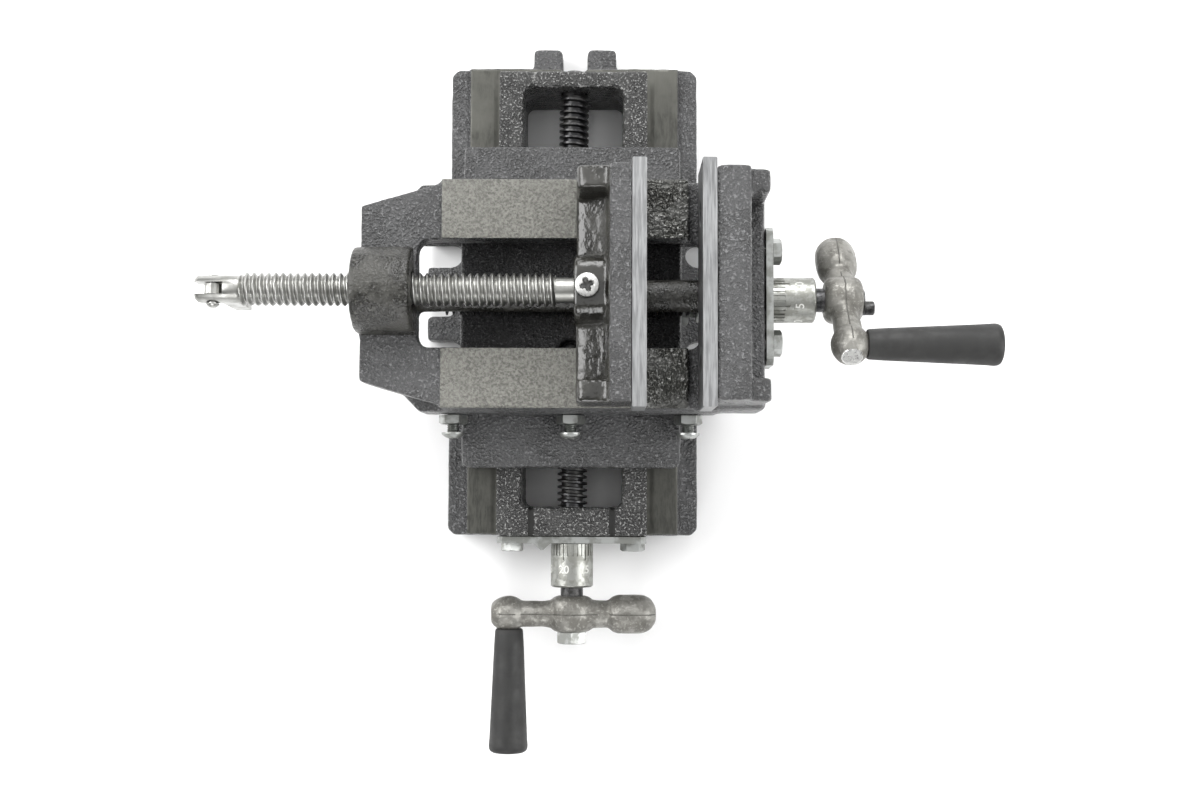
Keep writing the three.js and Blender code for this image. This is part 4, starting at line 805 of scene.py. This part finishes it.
class VISE_OT_movable_jaw(bpy.types.Operator):
    """Builds the movable jaw casting"""
    bl_idname = "vise.movable_jaw"
    bl_label = "Movable Jaw"

    def execute(self, context):
        sizes = context.scene.vise_sizes

        def front(points, normals):
            face = near(points[:, X], MOVABLE_JAW_FACE, 0.4)
            return np.where(face | near(points[:, Z], MOVABLE_JAW_SOLE, 0.3), TRUE, ROUGH)

        def numbers(centres, normals):
            wall_top = (centres[:, Z] > 132.6) & (centres[:, X] > 17)
            return np.where(wall_top, 1, 0)

        casting("movable_jaw", "movable_jaw_casting", "movable_jaw", 0.7, 14, sizes,
                front, ["Jaw paint", "Cast paint"], numbers, seed=41)
        return {"FINISHED"}


class VISE_OT_jaw_plates(bpy.types.Operator):
    """Builds the two ground jaw plates and their countersunk screws"""
    bl_idname = "vise.jaw_plates"
    bl_label = "Jaw Plates"

    def execute(self, context):
        sizes = context.scene.vise_sizes

        def socket(x, y):
            inward = (SOCKET_RADIUS - math.hypot(x, y)) / 0.35
            return -SOCKET_DEPTH * min(1.0, max(0.0, inward))

        rim = relief(lambda t: PLATE_SCREW_HEAD, socket, -1.2, 72, 22)
        cone = turned([(SMALL_SHANK, -3.6), (PLATE_SCREW_HEAD, -1.2)])
        shank = turned([(SMALL_SHANK, -14.4), (SMALL_SHANK, -3.0)])
        for side, body, towards in (("fixed", "vise_body", -1), ("moving", "movable_jaw", 1)):
            softened(f"{side}_jaw_plate", f"{side}_plate_ground", body,
                     "Jaw plate steel", sizes)
            for number in (1, 2):
                node = f"{side}_plate_screw_{number}"
                low, high = cad_box(node)
                _, y, z = (low + high) / 2
                head = low[X] if towards < 0 else high[X]
                place = frame_at((head, y, z), (0, 1, 0), (0, 0, towards), (towards, 0, 0))
                mesh = mesh_of(f"{node}_mesh", [rim, cone, shank], place)
                settle(f"{node}_socket_head", mesh, body, [node], ["Black oxide"])
        return {"FINISHED"}


SQUARE_THREAD = ((0.0, SCREW_CORE), (0.2, SCREW_CORE), (0.36, 6.95), (0.64, 6.95),
                 (0.8, SCREW_CORE))
ROUND_THREAD = tuple((i / 12, 6.26 - 0.74 * math.cos(FULL_TURN * i / 12)) for i in range(12))


class VISE_OT_feed_screws(bpy.types.Operator):
    """Builds the two blackened feed screws with their cut threads"""
    bl_idname = "vise.feed_screws"
    bl_label = "Feed Screws"

    def execute(self, context):
        pitch = context.scene.vise_sizes.screw_pitch / MM

        def plain_end(inner, outer):
            """A bearing length from inner to outer, chamfered at its outer end."""
            break_at = outer - math.copysign(0.6, outer)
            return [(SCREW_JOURNAL, inner), (SCREW_JOURNAL, break_at), (4.6, outer)]

        low, high = cad_box("y_lead_screw")
        y_shell = threaded(-Y_THREAD_END, Y_THREAD_END, pitch, SQUARE_THREAD, SCREW_CORE, False,
                           plain_end(-Y_THREAD_END, low[Y])[::-1],
                           plain_end(Y_THREAD_END, high[Y]))
        low, high = cad_box("x_lead_screw")
        x_shell = threaded(low[X], X_THREAD_END, pitch, SQUARE_THREAD, SCREW_CORE, False,
                           [(4.0, low[X])], plain_end(X_THREAD_END, high[X]))
        for axis, shell, place in (("y", y_shell, facing_back(0, 0, Y_SCREW_Z)),
                                   ("x", x_shell, facing_right(0, LINE_Y, X_SCREW_Z))):
            settle(f"{axis}_screw_cut", mesh_of(f"{axis}_screw_mesh", [shell], place),
                   f"{axis}_screw", [f"{axis}_lead_screw"], ["Black oxide"])
        return {"FINISHED"}


def with_slot(shell, cutter):
    """One shell with a box, given by two corners, cut out of it."""
    body = in_scene("worker", mesh_of("worker", [shell]))
    corners = list(itertools.product(*zip(*cutter)))
    faces = [(0, 1, 3, 2), (4, 6, 7, 5), (0, 4, 5, 1), (2, 3, 7, 6), (0, 2, 6, 4), (1, 5, 7, 3)]
    tool = in_scene("tool", mesh_of("tool", [(corners, faces)]))
    change = body.modifiers.new("cut", "BOOLEAN")
    change.object = tool
    change.operation = "DIFFERENCE"
    change.solver = "EXACT"
    bevelled(body, 0.35 * MM, 2, 50)
    mesh = worked_out(body)
    bpy.data.objects.remove(tool)
    return mesh


class VISE_OT_jaw_screw(bpy.types.Operator):
    """Builds the jaw screw with its fork, rivet, folding lever and retaining screw"""
    bl_idname = "vise.jaw_screw"
    bl_label = "Jaw Screw"

    def execute(self, context):
        sizes = context.scene.vise_sizes
        pitch = sizes.screw_pitch / MM
        low, high = cad_box("jaw_screw")
        tip, nose = low[X], high[X]
        place = facing_right(0, LINE_Y, JAW_SCREW_Z)
        neck = [(JAW_SCREW_NECK, JAW_THREAD_END), (JAW_SCREW_NECK, 4.9), (3.7, 4.9), (3.7, 11.1),
                (JAW_SCREW_NECK, 11.1), (JAW_SCREW_NECK, nose - 0.7), (4.6, nose)]
        screw = threaded(JAW_THREAD_START, JAW_THREAD_END, pitch, ROUND_THREAD, JAW_SCREW_CORE,
                         True, [(4.4, JAW_THREAD_START)], neck, 48)
        settle("jaw_screw_rolled", mesh_of("jaw_screw_mesh", [screw], place), "jaw_screw",
               ["jaw_screw"], ["Bright screw"], sharp=50.0)
        profile = [(3.8, tip), (4.9, tip + 0.35), (5.55, tip + 1.2), (5.8, tip + 2.4),
                   (5.8, -137.4), (5.5, -136.2), (4.9, -135.4)]
        slot = ((-20, -LEVER_SLOT, tip - 1), (20, LEVER_SLOT, tip + 12.4))
        fork = with_slot(turned(profile), slot)
        put(fork, place)
        settle("jaw_screw_fork", fork, "jaw_screw", [], ["Bright screw"])
        low, high = cad_box("lever_rivet")
        x, _, z = (low + high) / 2
        dome = pan_head(5.6, 1.85, 0.0, 0.9)
        shank = turned([(2.0, -12.0), (2.0, 0.1)])
        rivet = mesh_of("rivet_mesh", [dome, shank], facing_front(x, low[Y] + 1.9, z))
        settle("lever_rivet_dome", rivet, "jaw_screw", ["lever_rivet"],
               ["Bright screw"])
        softened("folding_lever", "folding_lever_pressed", "lever",
                 "Bright screw", sizes, 0.7 * MM)
        low, high = cad_box("screw_retainer")
        x, y, _ = (low + high) / 2
        head = pan_head(9.6, 2.8, 3.1, 0.2)
        shank = turned([(2.6, -10.0), (2.6, 0.2)])
        # A dark Black oxide block at the recess floor, which is painted shade in the cross recess.
        recess = cross_floor(2.8, 0.75, 1.0, 1.75)
        place = facing_up(x, y, high[Z] - 2.8) @ Matrix.Rotation(0.35, 4, "Z")
        retainer = mesh_of("retainer_mesh", [head, shank, recess], place, [0, 0, 1])
        settle("screw_retainer_cross", retainer, "movable_jaw", ["screw_retainer"],
               ["Ground gate", "Black oxide"])
        return {"FINISHED"}


def dial_shell(length, divisions):
    """A collar whose graduations are cut into the edge next to the bearing plate."""
    per_division = 16
    steps = divisions * per_division
    stations = [0.0, 0.25, SHORT_GRADUATION, SHORT_GRADUATION + 0.1, LONG_GRADUATION,
                LONG_GRADUATION + 0.1, length - 0.8, length - 0.4, length]
    rings = []
    for z in stations:
        ring = []
        for i in range(steps):
            division, offset = divmod(i + 3, per_division)
            reach = SHORT_GRADUATION if division % 5 else LONG_GRADUATION
            cut = offset < 6 and z < reach + 0.05
            r = DIAL_RADIUS - (GRADUATION_DEPTH if cut else 0.0)
            if z > length - 0.5:
                r = DIAL_RADIUS - (0.8 if z == length else 0.25)
            t = FULL_TURN * i / steps
            ring.append((r * math.cos(t), r * math.sin(t), z))
        rings.append(ring)
    return skinned(rings)


def figure_shell(text, middle):
    """A number bent round the collar, with its middle at the angle given."""
    curve = bpy.data.curves.new("figure", "FONT")
    curve.body = text
    curve.size = FIGURE_SIZE
    curve.align_x = "CENTER"
    curve.extrude = 0.12
    curve.offset = 0.04
    curve.resolution_u = 3
    mesh = worked_out(in_scene("worker", curve))
    work = bmesh.new()
    work.from_mesh(mesh)
    bmesh.ops.remove_doubles(work, verts=work.verts, dist=1e-4)
    bmesh.ops.triangulate(work, faces=work.faces)
    foot = FIGURE_TOP + FIGURE_SIZE * 0.7
    points = []
    for v in work.verts:
        t = middle + v.co.x / DIAL_RADIUS
        r = DIAL_RADIUS - 0.1 + v.co.z * 1.3
        points.append((r * math.cos(t), r * math.sin(t), foot - v.co.y))
    work.verts.index_update()
    faces = [tuple(v.index for v in face.verts) for face in work.faces]
    work.free()
    return points, faces


class VISE_OT_dials(bpy.types.Operator):
    """Builds the two graduated dial collars with their numbers"""
    bl_idname = "vise.dials"
    bl_label = "Dial Collars"

    def execute(self, context):
        divisions = context.scene.vise_sizes.dial_divisions
        step = FULL_TURN / divisions
        for axis, length, turn, shown, place in (
            ("y", 20.0, math.radians(90 + 21), 20, facing_front(0, Y_DIAL_START, Y_SCREW_Z)),
            ("x", 18.9, math.radians(180 + 22), 5, facing_right(X_DIAL_START, LINE_Y, X_SCREW_Z)),
        ):
            shells = [dial_shell(length, divisions)]
            for value in range(0, divisions, 5):
                points, faces = figure_shell(str(value), (shown - value) * step)
                # mirrored, because the digits read towards falling angles
                shells.append(([(x, -y, z) for x, y, z in points], faces))
            marks = [0] + [1] * (len(shells) - 1)
            mesh = mesh_of(f"{axis}_dial_mesh", shells,
                           place @ Matrix.Rotation(turn, 4, "Z"), marks)
            settle(f"{axis}_dial_graduated", mesh, f"{axis}_screw", [f"{axis}_dial_collar"],
                   ["Zinc collar", "Stamped figures"], sharp=25.0)
        return {"FINISHED"}


def arm_shells():
    """The crank's arm, turned about its own length, and its hub, turned about the screw's axis."""
    ball = []
    for a in (math.radians(4 + 10 * i) for i in range(14)):
        stretch = 1.16 if a < math.pi / 2 else 1.0
        ball.append((BALL_RADIUS * math.sin(a),
                     -CRANK_RADIUS - BALL_RADIUS * stretch * math.cos(a)))
    weight = [(5.5, -14.0), (6.2, -9.0), (6.2, 9.0), (5.8, 16.5), (6.3, 17.6), (7.7, 19.0),
              (8.55, 21.5), (8.8, 25.0), (8.8, 30.0), (8.2, 33.6), (6.8, 36.2), (4.0, 38.2),
              (1.0, 39.0)]
    points, faces = turned([*ball, *weight], 48)
    arm = ([(z, x, y + HUB_MIDDLE) for x, y, z in points], faces)
    half = [(6.8, 0.0), (8.6, 0.8), (9.6, 2.2), (10.15, 4.6)]
    other = [(r, HUB_LENGTH - z) for r, z in reversed(half)]
    hub = turned([*half, (10.3, HUB_MIDDLE), *other], 48)
    return arm, hub


def crank_mesh(name, place):
    """Arm and hub merged with cast fillets, a parting seam and the gate ground off the end."""
    mesh = remeshed(mesh_of(name, list(arm_shells())), 0.6)
    points = relax(mesh, mesh_points(mesh), 6, np.ones(len(mesh.vertices)))
    set_mesh_points(mesh, points)
    normals = point_normals(mesh)
    points = points + normals * 0.4
    off_hub = np.abs(points[:, X]) + np.abs(points[:, Y]) * 0.2 > 4.0
    seam = np.clip(1 - np.abs(points[:, Z] - HUB_MIDDLE) / 0.75, 0, 1) * off_hub
    waves = value_noise(points, 6.0, 5) * 0.12 + value_noise(points, 2.0, 6) * 0.04
    seam_height = -0.22 * seam * (0.7 + 0.6 * value_noise(points, 3.0, 7))
    points = points + normals * (waves + seam_height)[:, None]
    gate = points[:, X] < GATE_X
    points[gate, X] = GATE_X + 0.06 * value_noise(points[gate], 1.2, 8)
    set_mesh_points(mesh, points)
    centres = face_vectors(mesh, "center") / MM
    # Faces along the sunk seam, broken by noise, take the Seam shade finish, which is painted
    # shade in the seam.
    shaded_seam = near(centres[:, Z], HUB_MIDDLE, 0.34) & (value_noise(centres, 5.0, 9) > -0.25)
    numbers = np.where(centres[:, X] < GATE_X + 0.1, 1, np.where(shaded_seam, 2, 0))
    mesh.polygons.foreach_set("material_index", numbers.astype(np.int32))
    mesh.name = name
    put(mesh, place)
    return mesh


class VISE_OT_cranks(bpy.types.Operator):
    """Builds both crank arms with their grips, spindles and end screws"""
    bl_idname = "vise.cranks"
    bl_label = "Cranks"

    def execute(self, context):
        grip = turned([(3.4, 0.0), (5.7, 0.0), (6.2, 0.25), (6.45, 0.9), (6.9, 8.0), (8.1, 36.0),
                       (8.75, 50.5), (8.95, 52.6), (9.0, 53.6), (8.85, 54.8), (8.3, 55.8),
                       (7.4, 56.3), (6.4, 56.4), (5.6, 56.2), (5.3, 55.7), (5.3, 52.2),
                       (3.4, 52.1)], 72)
        spindle = turned([(3.0, -12.0), (3.0, SPINDLE_HEAD_Z + 0.1)])
        spindle_head = moved(pan_head(9.6, 2.9, 0.0, 0.3), 0, 0, SPINDLE_HEAD_Z)
        for axis, place in (
            ("y", facing_front(0, Y_CRANK_START, Y_SCREW_Z)),
            ("x", facing_right(X_CRANK_START, LINE_Y, X_SCREW_Z, X_CRANK_LEAN)),
        ):
            arm = crank_mesh(f"{axis}_crank_mesh", place)
            low, high = cad_box(f"{axis}_crank_arm")
            set_mesh_points(arm, np.clip(mesh_points(arm), low, high))
            settle(f"{axis}_crank_cast", arm, f"{axis}_screw", [f"{axis}_crank_arm"],
                   ["Cast zinc", "Ground gate", "Seam shade"], sharp=60.0)
            stand = place @ Matrix.Translation((-CRANK_RADIUS, 0, HUB_MIDDLE + GRIP_STAND))
            settle(f"{axis}_grip_moulded", mesh_of(f"{axis}_grip_mesh", [grip], stand),
                   f"{axis}_grip", [f"{axis}_handle_grip"], ["Grip plastic"])
            turning = mesh_of(f"{axis}_spindle_mesh", [spindle, spindle_head], stand)
            settle(f"{axis}_spindle_turned", turning, f"{axis}_screw",
                   [f"{axis}_handle_spindle"], ["Black oxide"])
        shank = turned([(SMALL_SHANK, -9.8), (SMALL_SHANK, 0.2)])
        reach = HUB_LENGTH + END_SCREW_GAP
        end = facing_front(0, Y_CRANK_START - reach, Y_SCREW_Z, math.radians(30))
        bolt = mesh_of("y_crank_bolt_mesh", [hex_head(13.0, 5.4), shank], end)
        settle("y_crank_bolt_head", bolt, "y_screw", ["y_crank_bolt"],
               ["Zinc plate"])
        end = facing_right(X_CRANK_START + reach, LINE_Y, X_SCREW_Z, X_CRANK_LEAN)
        stub = moved(turned([(3.1, 0.3), (3.1, 4.9), (2.7, 5.4)], 40), -2.4, -2.4, 0)
        washer = moved(turned([(5.4, 0.0), (5.7, 0.2), (5.7, 0.7), (5.4, 0.9)], 48), -0.6, -0.6, 0)
        end_screw = mesh_of("x_end_mesh", [stub, washer, shank], end)
        settle("x_end_screw_stub", end_screw, "x_screw", ["x_crank_end_screw"],
               ["Black oxide"])
        return {"FINISHED"}


class VISE_OT_bearing_plates(bpy.types.Operator):
    """Builds the plated bearing plates and their hexagon bolts"""
    bl_idname = "vise.bearing_plates"
    bl_label = "Bearing Plates"

    def execute(self, context):
        sizes = context.scene.vise_sizes
        head = hex_head(10.0, PLATE_BOLT_HEAD)
        shank = turned([(SMALL_SHANK, -12.0), (SMALL_SHANK, 0.2)])
        for axis, body, names in (("y", "base", ("left", "right")),
                                  ("x", "vise_body", ("1", "2"))):
            softened(f"{axis}_bearing_plate", f"{axis}_bearing_plated", body,
                     "Zinc plate", sizes)
            for name in names:
                node = f"{axis}_plate_bolt_{name}"
                low, high = cad_box(node)
                x, y, z = (low + high) / 2
                if axis == "y":
                    turn = math.radians(30) if name == "left" else 0.0
                    place = facing_front(x, low[Y] + PLATE_BOLT_HEAD, z, turn)
                else:
                    place = facing_right(high[X] - PLATE_BOLT_HEAD, y, z, math.radians(90))
                settle(f"{node}_head", mesh_of(f"{node}_mesh", [head, shank], place), body, [node],
                       ["Zinc plate"])
        return {"FINISHED"}


class VISE_OT_gib_screws(bpy.types.Operator):
    """Builds the gib adjusting screws and their locknuts"""
    bl_idname = "vise.gib_screws"
    bl_label = "Gib Screws"

    def execute(self, context):
        head = pan_head(10.2, GIB_HEAD, 2.7, 0.72)
        nut = relief(hexagon_rim(11.0), chamfered(4.0, 5.2, 0.6), 0.0, 72, 10)
        fine = ((0.0, GIB_THREAD_ROOT), (0.5, 2.68))
        for prefix, body in (("saddle", "saddle"), ("body", "vise_body")):
            for number in (1, 2, 3):
                node, nut_node = f"{prefix}_gib_screw_{number}", f"{prefix}_gib_locknut_{number}"
                low, high = cad_box(node)
                nut_low, nut_high = cad_box(nut_node)
                x, y, z = (low + high) / 2
                twist = 0.5 * number
                if prefix == "saddle":
                    length = high[X] - low[X]
                    place = facing_right(high[X] - GIB_HEAD, y, z, twist)
                    nut_place = facing_right(nut_low[X], y, z, math.radians(90))
                else:
                    length = high[Y] - low[Y]
                    place = facing_front(x, low[Y] + GIB_HEAD, z, twist)
                    nut_place = facing_front(x, nut_high[Y], z)
                start = GIB_HEAD - length
                thread = threaded(start, 0.2, 0.8, fine, GIB_THREAD_ROOT, True, [(1.5, start)],
                                  [(2.0, 0.2)], 20)
                settle(f"{node}_cross", mesh_of(f"{node}_mesh", [head, thread], place), body,
                       [node], ["Zinc plate"])
                settle(f"{prefix}_locknut_{number}",
                       mesh_of(f"{prefix}_nut_{number}", [nut], nut_place), body,
                       [nut_node], ["Zinc plate"])
        return {"FINISHED"}


class VISE_OT_inner_parts(bpy.types.Operator):
    """Builds the feed nuts, gib strips, keepers and their screws"""
    bl_idname = "vise.inner_parts"
    bl_label = "Inner Parts"

    def execute(self, context):
        sizes = context.scene.vise_sizes
        for body, slot_name, label, nodes in (
            ("saddle", "bronze_nut", "Bronze", ("y_feed_nut", "x_feed_nut")),
            ("saddle", "black_oxide", "Black oxide", ("y_nut_screw",)),
            ("saddle", "zinc_plate", "Zinc plate",
             ("x_nut_screw_1", "x_nut_screw_2", "saddle_gib")),
            ("vise_body", "zinc_plate", "Zinc plate", ("body_gib",)),
            ("movable_jaw", "zinc_plate", "Zinc plate",
             ("jaw_keeper_front", "jaw_keeper_back", "keeper_screw_front", "keeper_screw_back")),
        ):
            for node in nodes:
                softened(node, f"{node}_finished", body, label, sizes, 0.3 * MM)
        return {"FINISHED"}


class VISE_OT_stage(bpy.types.Operator):
    """Sets the floor, the soft lights and the camera"""
    bl_idname = "vise.stage"
    bl_label = "Stage"

    def execute(self, context):
        scene = context.scene
        mesh = bpy.data.meshes.new("floor")
        corners = [(x * FLOOR_REACH, y * FLOOR_REACH, FLOOR_Z * MM)
                   for x, y in ((-1, -1), (1, -1), (1, 1), (-1, 1))]
        mesh.from_pydata(corners, [], [(0, 1, 2, 3)])
        floor = in_scene("floor", mesh)
        pale = bpy.data.materials.new("Pale floor")
        pale.use_nodes = True
        shader = pale.node_tree.nodes["Principled BSDF"]
        shader.inputs["Base Color"].default_value = (0.93, 0.93, 0.93, 1)
        shader.inputs["Roughness"].default_value = 0.9
        mesh.materials.append(pale)
        world = bpy.data.worlds.new("Studio")
        world.use_nodes = True
        backdrop = world.node_tree.nodes["Background"]
        backdrop.inputs["Color"].default_value = (1.0, 1.0, 1.0, 1)
        backdrop.inputs["Strength"].default_value = 0.2
        scene.world = world
        scene.view_settings.view_transform = "Standard"
        for name, place, size, power in (
            ("left_soft", (-1.1, 0.3, 0.85), 1.0, 20.0),
            ("right_soft", (1.1, -0.2, 0.8), 1.1, 14.0),
            ("back_soft", (0.1, 1.2, 0.9), 0.9, 19.0),
            ("front_soft", (-0.2, -1.3, 0.8), 0.7, 9.0),
            ("top_soft", (0.0, 0.4, 1.5), 1.7, 9.0),
        ):
            lamp = bpy.data.lights.new(name, "AREA")
            lamp.shape = "SQUARE"
            lamp.size = size
            lamp.energy = power
            holder = in_scene(name, lamp)
            holder.location = place
            holder.rotation_mode = "QUATERNION"
            to_vise = Vector((0, 0, 0.06)) - Vector(place)
            holder.rotation_quaternion = to_vise.to_track_quat("-Z", "Y")
        lens = bpy.data.cameras.new("camera")
        lens.sensor_fit = "HORIZONTAL"
        lens.sensor_width = 36.0
        lens.lens = 43.98
        lens.clip_start = 0.01
        camera = in_scene("camera", lens)
        camera.location = (0.01785, -0.09232, 0.71199)
        camera.rotation_euler = tuple(math.radians(a) for a in (3.763, 0.412, 0.2103))
        scene.camera = camera
        return {"FINISHED"}


class VISE_PT_panel(bpy.types.Panel):
    """Lists the vise's builders and settings in the sidebar"""
    bl_idname = "VISE_PT_panel"
    bl_label = "Bench Vise"
    bl_space_type = "VIEW_3D"
    bl_region_type = "UI"
    bl_category = "Bench Vise"

    def draw(self, context):
        for group in (context.scene.vise_sizes, context.scene.vise_colours):
            for name in group.__annotations__:
                self.layout.prop(group, name)
        for builder in BUILDERS:
            self.layout.operator(builder.bl_idname)


BUILDERS = (
    VISE_OT_stage, VISE_OT_base, VISE_OT_body, VISE_OT_movable_jaw, VISE_OT_jaw_plates,
    VISE_OT_feed_screws, VISE_OT_jaw_screw, VISE_OT_dials, VISE_OT_cranks,
    VISE_OT_bearing_plates, VISE_OT_gib_screws, VISE_OT_inner_parts,
)
CLASSES = (ViseSizes, ViseColours, *BUILDERS, VISE_PT_panel)


def register():
    for item in CLASSES:
        bpy.utils.register_class(item)
    bpy.types.Scene.vise_sizes = bpy.props.PointerProperty(type=ViseSizes)
    bpy.types.Scene.vise_colours = bpy.props.PointerProperty(type=ViseColours)


def unregister():
    del bpy.types.Scene.vise_colours
    del bpy.types.Scene.vise_sizes
    for item in reversed(CLASSES):
        bpy.utils.unregister_class(item)


def main():
    register()
    make_finishes(bpy.context.scene.vise_colours)
    for builder in BUILDERS:
        getattr(bpy.ops.vise, builder.bl_idname.removeprefix("vise."))()


if __name__ == "__main__":
    main()
